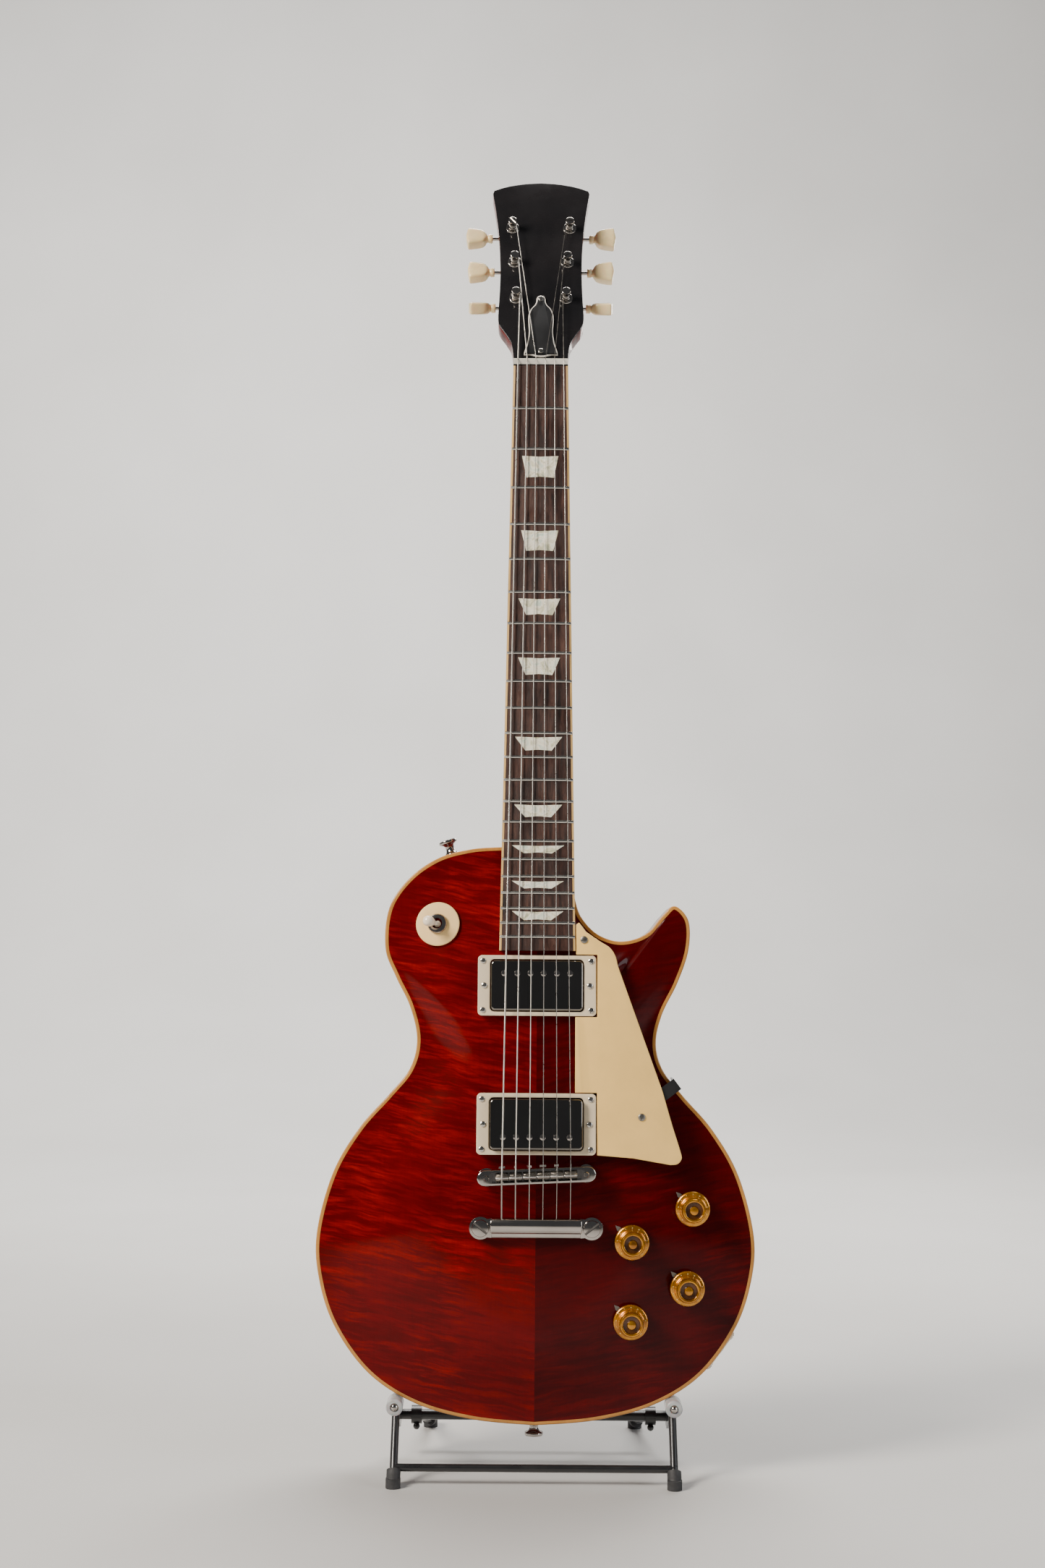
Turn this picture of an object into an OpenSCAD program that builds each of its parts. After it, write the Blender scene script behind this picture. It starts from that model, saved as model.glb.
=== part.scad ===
/* [Pose] */
// Angle that the guitar leans back from upright
lean = 3; // [1:0.5:6]
// Height of the lowest point of the guitar's rim above the floor
rim_z = 40; // [38:1:46]
// Shift that centres the whole object front to back
centre_y = -65.7; // [-70:0.1:-60]

/* [Body] */
// Width of the lower bout
body_w = 328; // [324:1:332]
// Length of the body from the end rim to the shoulder
body_l = 431; // [428:1:434]
// Thickness of the mahogany back
back_t = 43; // [40:1:45]
// Thickness of the maple cap at its edge
cap_edge = 7; // [6:0.5:8]
// Rise of the carved top above its edge
carve_h = 12.4; // [11:0.1:13]
// Width of the binding seen from the front
binding_w = 2.7; // [1.5:0.1:3]

/* [Neck] */
// String length from nut to saddles
scale_l = 625; // [622:1:630]
// Number of frets
fret_count = 22; // [20:1:22]
// Fingerboard width at the nut
board_w0 = 43; // [42:0.5:44]
// Fingerboard width at the last fret
board_w1 = 56.9; // [55:0.1:58]
// Fingerboard thickness on its centre line
board_t = 6.3; // [5:0.1:7]
// Radius of the fingerboard's crown
board_r = 305; // [240:5:400]
// Angle of the neck to the body
neck_angle = 4.4; // [3.5:0.1:5]
// Angle of the headstock to the neck
head_angle = 17; // [14:0.5:17]
// Headstock thickness with its black face
head_t = 14.5; // [13:0.5:16]

/* [Hardware] */
// Spread of the outer strings at the nut
spread_nut = 35.8; // [34:0.1:37]
// Spread of the outer strings at the saddles
spread_bridge = 50.9; // [49:0.1:52]
// Distance between the tailpiece studs
stud_gap = 82.5; // [80:0.5:84]
// Distance between the bridge posts
post_gap = 74; // [73:0.5:75]
// Diameter of a control knob
knob_d = 26; // [22:0.5:27]
// Diameter of the switch washer
washer_d = 33.3; // [30:0.1:36]

/* [Stand] */
// Diameter of the steel rod
rod_d = 6; // [5:0.5:7]
// Distance between the two arms
arm_gap = 207.2; // [200:0.2:212]
// Diameter of an arm's clear sleeve
sleeve_d = 12.5; // [11:0.5:13]
// Distance between the front feet
front_gap = 206.5; // [200:0.5:212]
// Distance between the rear feet
rear_gap = 166; // [150:1:176]
// Height of the back rest's cushion
rest_z = 150; // [130:5:180]

/* [Hidden] */
$fn = 48;
eps = 0.02;

// Colours
cherry = "#8f0f14";
cherry_dark = "#6d1512";
cream = "#efe2b8";
nickel = "#c9c6c0";
black = "#17171a";
rosewood = "#3c2420";
pearl = "#dcdcd0";
gold = "#c99a2e";
clear_grey = "#b9b9bb";

// ---- Frames. In the guitar's frame X is across, Y runs up the body from the end rim
// ---- and Z comes forward from the plane of the rim.
module guitar() translate([0, centre_y, rim_z]) rotate([90 - lean, 0, 0]) children();
nut_y = body_l + 380;
nut_z = -16.6;
// In the neck's frame Y = 0 is the nut's front edge and Z = 0 the fingerboard's crown
module neck_frame() guitar() translate([0, nut_y, nut_z]) rotate([-neck_angle, 0, 0]) children();
// In the headstock's frame Z = 0 is its black face
module head_frame() neck_frame() rotate([-head_angle, 0, 0]) children();
module stand() translate([0, centre_y, 0]) children();

// ---- Curves
function blend_point(a, b, c, d, t) = 0.5 * (2 * b + (c - a) * t
    + (2 * a - 5 * b + 4 * c - d) * t * t + (3 * b - a - 3 * c + d) * t * t * t);
// Smooth open curve through points p, n steps between neighbours
function spline(p, n) = let (m = len(p) - 1) concat([for (i = [0:m - 1], k = [0:n - 1])
    blend_point(p[max(i - 1, 0)], p[i], p[i + 1], p[min(i + 2, m)], k / n)], [p[m]]);
// Smooth closed curve through points p
function loop_spline(p, n) = let (m = len(p)) [for (i = [0:m - 1], k = [0:n - 1])
    blend_point(p[(i + m - 1) % m], p[i], p[(i + 1) % m], p[(i + 2) % m], k / n)];
// Moves a closed outline that runs counter-clockwise inwards by d
function inset(p, d) = let (m = len(p)) [for (i = [0:m - 1])
    let (a = p[(i + m - 1) % m], b = p[(i + 1) % m], t = (b - a) / norm(b - a))
    p[i] + d * [-t.y, t.x]];
function flip(p) = [for (i = [len(p) - 1:-1:0]) [-p[i].x, p[i].y]];
function smooth(x) = let (c = min(max(x, 0), 1)) c * c * (3 - 2 * c);
function mix(a, b, t) = a + (b - a) * t;

// ---- Body outline, right and left of the centre line, from the end rim to the neck
function body_scale(p) = [for (q = p) [q.x * body_w / 328, q.y * body_l / 431]];
lower_bout = [[0, 0], [45, 3.9], [88, 15.2], [124, 37.4], [150.5, 73], [162.6, 110],
    [163.6, 143], [152, 186], [132.6, 219], [111, 243.5], [95.5, 263]];
horn_side = [[90.3, 283], [95, 305], [106.5, 328.5], [114.8, 353], [115, 375.5],
    [104.6, 387], [94.9, 379.3], [82.3, 365.3], [63.4, 359.9], [45.8, 365.2],
    [33.1, 378.6], [28.2, 393]];
shoulder_side = [[90.4, 285], [96, 309.6], [107, 332], [115.2, 353.6], [112.6, 384],
    [97.2, 407], [75, 422.4], [50, 429.3], [27.5, 431]];
join_w = 27.4;
join_end = [join_w, 431];
curve_steps = 3;
function side(p) = spline(body_scale(p), curve_steps);
treble_side = concat(side(concat(lower_bout, horn_side)), body_scale([join_end]));
bass_side = side(concat(lower_bout, shoulder_side));
function without_first(p) = [for (i = [1:len(p) - 1]) p[i]];
body_outline = concat(treble_side, flip(without_first(bass_side)));
cap_outline = inset(body_outline, binding_w);
// The cap's two halves, both written on the right of the centre line
treble_count = len(treble_side);
join_y = body_l - binding_w;
function closed_half(p) = concat([[0, binding_w]], p, [[0, join_y]]);
treble_cap = closed_half([for (i = [1:treble_count - 1]) cap_outline[i]]);
bass_cap = closed_half([for (i = [len(cap_outline) - 1:-1:treble_count])
    [-cap_outline[i].x, cap_outline[i].y]]);

// ---- Carved top: it rises from the edge along rays that run to a spine on the centre line
spine_low = 115;
spine_high = 305;
carve_rings = 8;
cutaway_span = 26;
// Length of the slope for a ray of length l that starts at edge point e
function carve_span(l, e, steep) = mix(min(max(0.6 * l, 45), 95), cutaway_span,
    steep && e.y > 350 ? smooth((95 - e.x) / 25) : 0);
function ray_point(e, s, t, steep) = let (p = mix(e, s, t), l = norm(s - e))
    [p.x, p.y, carve_h * smooth(t * l / carve_span(l, e, steep))];
// The rays stop short of the seam by spine_gap, apart from the first and the last, which lie on it
spine_gap = 5;
// The place on the seam from which the whole of a half's flat underside can be seen
seam_middle = 250;
module carved_half(edge, steep) {
    m = len(edge) - 1;
    k = carve_rings;
    row = k + 1;
    foot = (m + 1) * row;
    top = [for (j = [0:m], i = [0:k]) ray_point(edge[j],
        [j == 0 || j == m ? 0 : spine_gap, mix(spine_low, spine_high, j / m)], i / k, steep)];
    bottom = [for (p = edge) [p.x, p.y, -cap_edge]];
    middle = foot + m + 1;
    skin = [for (j = [0:m - 1], i = [0:k - 1], h = [0:1]) let (a = j * row + i)
        h == 0 ? [a, a + 1, a + row + 1] : [a, a + row + 1, a + row]];
    crest = [for (j = [m:-1:0]) j * row + k];
    wall = [for (j = [0:m - 1]) [j * row, (j + 1) * row, foot + j + 1, foot + j]];
    seam = concat([middle, foot + m], [for (i = [0:k]) m * row + i], [for (i = [k:-1:0]) i],
        [foot]);
    base = concat([middle], [for (j = [0:m]) foot + j]);
    polyhedron(concat(top, bottom, [[0, seam_middle, -cap_edge]]),
        concat(skin, wall, [crest, seam, base]));
}

// ---- Places on the top
knob_spots = [[117.3, 160.8], [71.8, 136.4], [113.3, 102.5], [71, 78.1]];
knob_seats = [8.8, 13.7, 9.8, 13];
switch_spot = [-75.3, 371.8];
switch_seat = 5.5;
switch_tilt = [-7.3, -8.3];
pickup_y = [326, 223.3];
pickup_rise = [4.3, 8.6];
pickup_top = [18.4, 26.2];
pole_side = [9.2, -9.2];
pickup_tilt = 3;
ring_screws = [40.6, 18.4];
ring_adjuster = 39.6;
bridge_y = 185.6;
bridge_turn = 2.6;
bridge_x = 0.4;
tail_y = 147;
saddle_z = 32.8;
control_cavity = loop_spline([[50, 70], [60, 57], [92, 63], [128, 92], [135, 120], [136, 166],
    [122, 178], [98, 170], [62, 154], [50, 136]], 3);
jack_spot = [138.9, 54.2];
jack_angle = -37;
jack_z = -26;
jack_screw = 13.4;
module jack_frame() guitar() translate([jack_spot.x, jack_spot.y, jack_z])
    rotate([0, 0, jack_angle]) rotate([0, 90, 0]) children();
module at_knob(i) guitar() translate([knob_spots[i].x, knob_spots[i].y, 0]) children();
module at_switch() guitar() translate([switch_spot.x, switch_spot.y, switch_seat])
    rotate([switch_tilt.x, switch_tilt.y, 0]) children();
module at_pickup(i) guitar() translate([0, pickup_y[i], carve_h + 0.05]) children();
module at_bridge() guitar() translate([bridge_x, bridge_y, 0]) rotate([0, 0, bridge_turn]) children();

// ---- Small shared shapes
module rounded_rect(w, h, r) {
    square([w - 2 * r, h], center = true);
    square([w, h - 2 * r], center = true);
    for (x = [-1, 1], y = [-1, 1]) translate([x * (w / 2 - r), y * (h / 2 - r)]) circle(r);
}
module bar_between(a, b, r) {
    d = b - a;
    l = norm(d);
    translate(a) rotate([0, acos(d.z / l), atan2(d.y, d.x)]) cylinder(h = l, r = r);
}
// Wood or machine screw, head up at the origin, shank going down
module screw(head_r, head_h, shank_r, shank_l) {
    difference() {
        cylinder(h = head_h, r1 = head_r, r2 = head_r * 0.72);
        translate([-head_r, -0.3, head_h - 0.5]) cube([2 * head_r, 0.6, 1]);
    }
    translate([0, 0, -shank_l]) cylinder(h = shank_l + eps, r = shank_r);
}

// ==== Stand ====
hinge = [0, 60, 33];
arm_z = 54.85;
arm_front = -8;
arm_back = 63;
foot_y = -25;
crossbar_z = 12.7;
leg_lean = 0.7813;
leg_top_z = 54;
rod_r = rod_d / 2;
foot_r = 5.2;
function leg_point(z) = foot_y + leg_lean * z;
plate_t = 3;
module front_leg_rod(s) bar_between([s * front_gap / 2, leg_point(4), 4],
    [s * arm_gap / 2, leg_point(leg_top_z), leg_top_z], rod_r);
module gusset(s) translate([s * arm_gap / 2 - plate_t / 2, 0, 0]) rotate([90, 0, 90])
    linear_extrude(plate_t) difference() {
        polygon([[10, arm_z - 1], [13, 46], [50, 26], [58, 24], [66, 26], [69, 33], [66, arm_z - 1]]);
        translate([hinge.y, hinge.z]) circle(r = 4.1);
        translate([40, 45]) circle(r = 5);
    }
module front_frame() color(black) stand() difference() {
    for (s = [-1, 1]) union() {
        front_leg_rod(s);
        translate([s * arm_gap / 2, arm_back, arm_z]) rotate([90, 0, 0])
            cylinder(h = arm_back - arm_front, r = rod_r);
        gusset(s);
    }
    crossbar_rod();
}
module crossbar_rod() translate([-front_gap / 2 + 0.1, leg_point(crossbar_z), crossbar_z])
    rotate([0, 90, 0]) cylinder(h = front_gap - 0.2, r = rod_r - 0.1);
module front_crossbar() color(black) stand() crossbar_rod();
module hinge_bar() color(black) stand() translate([-arm_gap / 2 - 5, hinge.y, hinge.z])
    rotate([0, 90, 0]) {
        cylinder(h = arm_gap + 10, r = 4);
        for (z = [0, arm_gap + 6.4]) translate([0, 0, z]) cylinder(h = 3.6, r = 5.6);
    }
module arm_sleeves() color(clear_grey) stand() for (s = [-1, 1])
    translate([s * arm_gap / 2, 9.5, arm_z]) rotate([90, 0, 0]) difference() {
        cylinder(h = 18.5, r = sleeve_d / 2);
        translate([0, 0, -1]) cylinder(h = 18.5, r = rod_r);
        translate([-9, -sleeve_d, -1]) cube([18, 7.2, 6]);
    }
module front_feet() color(black) stand() for (s = [-1, 1]) difference() {
    x = s * front_gap / 2;
    union() {
        translate([x, leg_point(3), 0]) cylinder(h = 7, r = foot_r + 0.3);
        bar_between([x, leg_point(3.5), 3.5], [x, leg_point(11), 11], foot_r);
    }
    front_leg_rod(s);
    crossbar_rod();
    translate([x - 10, -60, -5]) cube([20, 60, 5]);
}
rear_foot_y = 155;
collar_x = 90;
collar_w = 8;
rest_half = 52;
rest_y = 63.9;
function rear_rod_z(y) = mix(hinge.z, 5, (y - hinge.y) / (rear_foot_y - hinge.y));
module rear_rod(s) bar_between([s * collar_x, hinge.y, hinge.z],
    [s * rear_gap / 2, rear_foot_y, 5], rod_r);
rest_foot_y = 84;
rest_knee = [rest_y + 6.5, 70];
module rest_upright(s) {
    knee = [s * rest_half, rest_knee.x, rest_knee.y];
    bar_between([s * rest_half, rest_foot_y, rear_rod_z(rest_foot_y) + 1], knee, rod_r);
    bar_between(knee, [s * rest_half, rest_y + 3.5, rest_z], rod_r);
    translate(knee) sphere(rod_r + 0.3, $fn = 32);
    translate([s * rest_half, rest_y + 3.5, rest_z]) sphere(rod_r + 0.3, $fn = 32);
}
module hinge_collar(s) difference() {
    union() {
        translate([s * collar_x - collar_w / 2, hinge.y, hinge.z]) rotate([0, 90, 0])
            cylinder(h = collar_w, r = 7);
        rear_rod(s);
        translate([s * collar_x, hinge.y - 4, hinge.z - 8]) sphere(2.6, $fn = 24);
    }
    translate([-arm_gap / 2, hinge.y, hinge.z]) rotate([0, 90, 0]) cylinder(h = arm_gap, r = 4.06);
}
module rear_frame() color(black) stand() {
    for (s = [-1, 1]) {
        hinge_collar(s);
        rest_upright(s);
    }
    translate([-rest_half, rest_y + 3.5, rest_z]) rotate([0, 90, 0])
        cylinder(h = 2 * rest_half, r = rod_r);
    translate([-88, rest_foot_y, rear_rod_z(rest_foot_y)]) rotate([0, 90, 0])
        cylinder(h = 176, r = rod_r - 0.2);
}
pad_r = 8.5;
pad_half = 44;
module back_rest_pad() color(black) stand() difference() {
    translate([-pad_half, rest_y + 3.5, rest_z]) rotate([0, 90, 0])
        cylinder(h = 2 * pad_half, r = pad_r);
    translate([-rest_half, rest_y + 3.5, rest_z]) rotate([0, 90, 0])
        cylinder(h = 2 * rest_half, r = rod_r);
}
module rear_feet() color(black) stand() for (s = [-1, 1]) difference() {
    x = s * rear_gap / 2;
    union() {
        translate([x, rear_foot_y - 1, 0]) cylinder(h = 8, r = foot_r + 0.4);
        bar_between([mix(s * collar_x, x, 0.86), mix(hinge.y, rear_foot_y, 0.86),
            rear_rod_z(mix(hinge.y, rear_foot_y, 0.86))], [x, rear_foot_y, 5], foot_r);
    }
    rear_rod(s);
    translate([x - 12, rear_foot_y - 30, -8]) cube([24, 50, 8]);
}

// ==== Body ====
module neck_pocket() {
    neck_frame() translate([-35, -460.3, -board_t]) cube([70, 470, 40]);
    neck_frame() translate([-19, -450, -36]) cube([38, 80, 40]);
}
module pickup_routes() for (i = [0, 1]) guitar() translate([-35.6, pickup_y[i] - 19.8, -19])
    cube([71.2, 39.6, 50]);
module top_holes() {
    for (i = [0:3]) at_knob(i) translate([0, 0, -cap_edge - 1]) cylinder(h = 40, r = 4.85);
    at_switch() translate([0, 0, -20]) cylinder(h = 40, r = 5.3);
    for (s = [-1, 1]) {
        at_bridge() translate([s * post_gap / 2, 0, -14]) cylinder(h = 50, r = 2.05);
        guitar() translate([bridge_x + s * stud_gap / 2, tail_y, -20]) cylinder(h = 60, r = 5.6);
    }
}
module cap_cuts() {
    neck_pocket();
    pickup_routes();
    top_holes();
}
module cap_treble_half() color(cherry) difference() {
    guitar() carved_half(treble_cap, true);
    cap_cuts();
}
module cap_bass_half() color(cherry) difference() {
    guitar() mirror([1, 0, 0]) carved_half(bass_cap, false);
    cap_cuts();
}
module body_binding() color(cream) difference() {
    guitar() translate([0, 0, -cap_edge]) linear_extrude(cap_edge) difference() {
        polygon(body_outline);
        polygon(cap_outline);
    }
    guitar() translate([-join_w + 0.6, body_l - 8, -20]) cube([2 * join_w - 1.2, 20, 40]);
}
cover_t = 1.6;
back_z = -cap_edge - back_t;
module body_back() color(cherry_dark) difference() {
    guitar() translate([0, 0, back_z]) linear_extrude(back_t) polygon(body_outline);
    neck_pocket();
    pickup_routes();
    top_holes();
    guitar() translate([0, 0, back_z - 1]) linear_extrude(back_t + 2) polygon(control_cavity);
    guitar() translate([0, 0, back_z - 1]) linear_extrude(cover_t + 1.1)
        polygon(inset(control_cavity, -6));
    guitar() translate([switch_spot.x, switch_spot.y, back_z - 1]) {
        cylinder(h = back_t + 2, r = 24);
        cylinder(h = cover_t + 1.1, r = 30);
    }
    jack_frame() translate([0, 0, -30]) cylinder(h = 60, r = 10.5);
}
screw_back = [[56, 62], [131, 97], [128, 174], [55, 146]];
function switch_screw(a) = [switch_spot.x + 26.8 * cos(a), switch_spot.y + 26.8 * sin(a)];
cover_screws = concat(screw_back, [for (a = [90, 210, 330]) switch_screw(a)]);
module back_covers() color(black) guitar() translate([0, 0, back_z]) difference() {
    union() {
        linear_extrude(cover_t) polygon(inset(control_cavity, -5.7));
        translate([switch_spot.x, switch_spot.y, 0]) cylinder(h = cover_t, r = 29.7);
    }
    for (p = cover_screws) translate([p.x, p.y, -1]) cylinder(h = 5, r = 1.3);
}

// ==== Neck and headstock ====
board_end = 460;
last_fret = scale_l * (1 - pow(2, -fret_count / 12));
function board_half(d) = mix(board_w0, board_w1, d / last_fret) / 2;
neck_bind = 1.6;
section_points = 18;
// One slice of the neck's back: half ellipse of the given half width and depth at distance d
function neck_slice(d, half, depth, fullness) = [for (i = [0:section_points])
    let (a = 180 * i / section_points)
    [-half * cos(a), -d, -board_t - depth * pow(sin(a), fullness)]];
// [distance from the nut, depth, fullness, half width as a share of the board's]
neck_shape = [[-15, 6, 0.8, 0.96], [-7, 12.6, 0.85, 0.99], [2, 14.8, 0.85, 1],
    [60, 15.2, 0.85, 1], [180, 16.6, 0.82, 1], [300, 18, 0.78, 1], [335, 18.6, 0.75, 1],
    [350, 21, 0.7, 1], [360, 26, 0.6, 1], [368, 34, 0.5, 1],
    [374, 42, 0.42, 1], [379.5, 47, 0.36, 1]];
module loft(slices) {
    n = len(slices[0]);
    m = len(slices);
    sides = [for (j = [0:m - 2], i = [0:n - 1], h = [0:1])
        let (a = j * n + i, b = j * n + (i + 1) % n)
        h == 0 ? [b, a, b + n] : [b + n, a, a + n]];
    polyhedron([for (s = slices) each s],
        concat(sides, [[for (i = [0:n - 1]) i]], [[for (i = [n - 1:-1:0]) (m - 1) * n + i]]));
}
head_side = [[21.5, 0], [21.7, 10], [23.2, 21], [27.6, 30], [32.6, 38.5], [34, 47], [33.1, 70],
    [32.7, 94], [33.8, 125], [36.5, 152], [39.6, 174]];
head_crown = [[38.6, 177.2], [28, 181.4], [14, 184.4], [0, 185.5]];
head_half = concat(spline(head_side, 3), spline(head_crown, 2));
head_outline = concat(head_half, flip([for (i = [0:len(head_half) - 2]) head_half[i]]));
veneer_t = 1.3;
nut_t = 4.8;
post_rows = [66.2, 102.7, 137.8];
post_halves = [20, 21.3, 23.2];
// Tuners 1 to 3 are on the left and 4 to 6 on the right, from the crown end down on the right
function tuner_row(i) = i < 3 ? i : 5 - i;
function tuner_side(i) = i < 3 ? -1 : 1;
module at_post(i) head_frame()
    translate([tuner_side(i) * post_halves[tuner_row(i)], post_rows[tuner_row(i)], 0]) children();
module neck() color(cherry_dark) difference() {
    union() {
        difference() {
            neck_frame() loft([for (s = neck_shape)
                neck_slice(s[0], board_half(s[0]) * s[3], s[1], s[2])]);
            guitar() translate([-40, body_l - 30, back_z - 5]) cube([80, 30.02, 60]);
        }
        neck_frame() translate([-18.9, -449.8, -35.8]) cube([37.8, 72, 35.7 - board_t]);
        head_frame() translate([0, 0, -head_t]) linear_extrude(head_t - veneer_t)
            polygon(head_outline);
    }
    neck_frame() translate([-40, -12, -board_t + 0.01]) cube([80, 12, 30]);
    neck_frame() translate([-40, -1, -3.62]) cube([80, 1 + nut_t, 30]);
    neck_frame() translate([-3, -400, -board_t - 9]) cube([6, 412, 10]);
    head_frame() translate([-8, 6, -9]) cube([16, 22, 12]);
    for (i = [0:5]) at_post(i) translate([0, 0, -head_t - 1]) cylinder(h = head_t + 2, r = 4.65);
}
module headstock_veneer() color(black) difference() {
    head_frame() translate([0, 0, -veneer_t]) linear_extrude(veneer_t) polygon(head_outline);
    neck_frame() translate([-40, -10, -20]) cube([80, 10 + nut_t + 0.1, 40]);
    head_frame() translate([-8, 6, -9]) cube([16, 22, 12]);
    for (i = [0:5]) at_post(i) translate([0, 0, -head_t - 1]) cylinder(h = head_t + 2, r = 4.65);
}
module truss_rod() color(nickel) {
    neck_frame() translate([-2.4, -396, -board_t - 8.6]) cube([4.8, 380, 8.4]);
    neck_frame() translate([0, -17, -board_t - 4.5]) rotate([-90, 0, 0]) cylinder(h = 27, r = 2.4);
    neck_frame() translate([0, 8.5, -board_t - 4.5]) rotate([-90, 0, 0])
        cylinder(h = 9, r = 3.9, $fn = 6);
}
// The solid that the board's crown is cut from; its radius is large, so it takes many segments
crown_fn = 720;
module crown(extra) rotate([90, 0, 0]) translate([0, -board_r, -10])
    cylinder(h = board_end + 20, r = board_r + extra, $fn = crown_fn);
// The board seen from above, drawn in by inset_w at its sides and run over its ends by over
module board_plan(inset_w, over = 0) {
    low = board_half(board_end + over) - inset_w;
    high = board_half(-over) - inset_w;
    polygon([[-high, over], [-low, -board_end - over], [low, -board_end - over], [high, over]]);
}
inlay_frets = [3, 5, 7, 9, 12, 15, 17, 19, 21];
// Share of the fret gap that each inlay fills along the neck
inlay_fill = [0.56, 0.59, 0.53, 0.62, 0.58, 0.62, 0.45, 0.47, 0.62];
inlay_shift = [-0.03, -0.02, -0.02, -0.02, -0.05, -0.02, -0.03, 0.02, 0.02];
inlay_short = [21.1, 20.8, 20.3, 20.5, 20, 19.7, 21.1, 20.5, 20.5];
inlay_wide = [28.3, 28.9, 32.2, 32.2, 36.1, 36.6, 40, 39.4, 38.9];
function fret_at(n) = scale_l * (1 - pow(2, -n / 12));
inlay_depth = 2.4;
module inlay_plan(i) {
    n = inlay_frets[i];
    a = fret_at(n - 1);
    b = fret_at(n);
    mid = mix(a, b, 0.5 + inlay_shift[i]);
    half_l = (b - a) * inlay_fill[i] / 2;
    top = inlay_wide[i] / 2;
    low = inlay_short[i] / 2;
    translate([0, -mid]) polygon([[-top, half_l], [-low, -half_l], [0, -half_l + 0.7],
        [low, -half_l], [top, half_l], [0, half_l - 0.7]]);
}
module fingerboard() color(rosewood) neck_frame() difference() {
    intersection() {
        translate([0, 0, -board_t]) linear_extrude(board_t + 1) board_plan(neck_bind);
        crown(0);
    }
    for (i = [0:8]) translate([0, 0, -inlay_depth]) linear_extrude(inlay_depth + 2) inlay_plan(i);
}
module inlays() color(pearl) neck_frame() intersection() {
    for (i = [0:8]) translate([0, 0, -inlay_depth]) linear_extrude(inlay_depth + 0.6) inlay_plan(i);
    crown(0.03);
}
module fingerboard_binding() color(cream) neck_frame() intersection() {
    difference() {
        translate([0, 0, -board_t]) linear_extrude(board_t + 1) board_plan(0);
        translate([0, 0, -board_t - 1]) linear_extrude(board_t + 3) board_plan(neck_bind - 0.01, 2);
    }
    crown(0);
}
fret_h = 1.1;
fret_w = 2.4;
module frets() color(nickel) neck_frame() for (n = [1:fret_count]) intersection() {
    d = fret_at(n);
    translate([0, -d + fret_w / 2, -board_r]) rotate([90, 0, 0]) difference() {
        cylinder(h = fret_w, r = board_r + fret_h, $fn = crown_fn);
        translate([0, 0, -1]) cylinder(h = fret_w + 2, r = board_r + 0.04, $fn = crown_fn);
    }
    translate([-board_half(d) + 0.5, -d - 3, -3]) cube([2 * board_half(d) - 1, 6, 8]);
}
string_r = [0.58, 0.46, 0.33, 0.22, 0.17, 0.13];
// Clearance that keeps a string's three runs apart where it bends
string_gap = 0.35;
function toward(a, b, d) = a + d * (b - a) / norm(b - a);
function nut_x(i) = mix(-spread_nut, spread_nut, i / 5) / 2;
function bridge_string_x(i) = bridge_x - 0.2 + mix(-spread_bridge, spread_bridge, i / 5) / 2;
string_nut_h = 1.9;
// Where the strings bend over the nut, and the room under them in its slots
nut_bend = 4.2;
slot_gap = 0.25;
module nut() color("#f4f1e6") neck_frame() difference() {
    translate([-21.5, 0.05, -3.6]) cube([43, nut_t - 0.1, 6]);
    for (i = [0:5]) translate([nut_x(i) - string_r[i] - 0.1, -1,
        string_nut_h - string_r[i] - slot_gap]) cube([2 * string_r[i] + 0.2, 8, 6]);
    translate([-30, nut_t, 2.4]) rotate([35, 0, 0]) translate([0, -10, 0]) cube([60, 20, 5]);
}
rod_cover_screws = [12.5, 64.3];
rod_cover_side = [[13.4, 9.1], [12.9, 12.5], [10.7, 21], [9.6, 31.5], [10.1, 42.5], [9.7, 49],
    [7.8, 54.5], [5, 58.2], [3.8, 61.4], [3.5, 64.6], [2.4, 66.9], [0, 67.8]];
rod_cover_outline = concat([[0, 7.2]], spline(rod_cover_side, 3),
    [for (p = flip(spline(rod_cover_side, 3))) if (p.x < -0.01) p]);
module truss_rod_cover() color(black) head_frame() difference() {
    translate([0, 0, 0.02]) linear_extrude(1.8) polygon(rod_cover_outline);
    for (y = rod_cover_screws) translate([0, y, -1]) cylinder(h = 5, r = 1.1);
}

// ==== Tuners ====
worm_off = 5;
worm_z = -head_t - 4.8;
post_r = 3.1;
string_post_h = 5.2;
button_in = 16.3;
button_l = 22;
module tuner_housings() color(nickel) for (i = [0:5]) at_post(i) {
    s = tuner_side(i);
    difference() {
        translate([-7.5 - (s < 0 ? 0.5 : 0), -8, -head_t - 9.2]) cube([15.5, 21, 9.15]);
        translate([-6.6 - (s < 0 ? 0.5 : 0), -7.1, -head_t - 8.3]) cube([13.7, 19.2, 9]);
        translate([-12, worm_off, worm_z]) rotate([0, 90, 0]) cylinder(h = 24, r = 1.65);
    }
    for (y = [-12.4, 13]) difference() {
        translate([-4, y, -head_t - 1.1]) cube([8, 4.4, 1.05]);
        translate([0, y < 0 ? y + 1.9 : y + 2.5, -head_t - 2]) cylinder(h = 3, r = 1.05);
    }
}
module tuner_bushings() color(nickel) for (i = [0:5]) at_post(i) difference() {
    union() {
        translate([0, 0, 0.02]) cylinder(h = 1.1, r1 = 5.5, r2 = 4.7);
        translate([0, 0, -head_t + 0.5]) cylinder(h = head_t, r = 4.6);
    }
    translate([0, 0, -head_t - 1]) cylinder(h = head_t + 5, r = post_r + 0.06);
}
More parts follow.
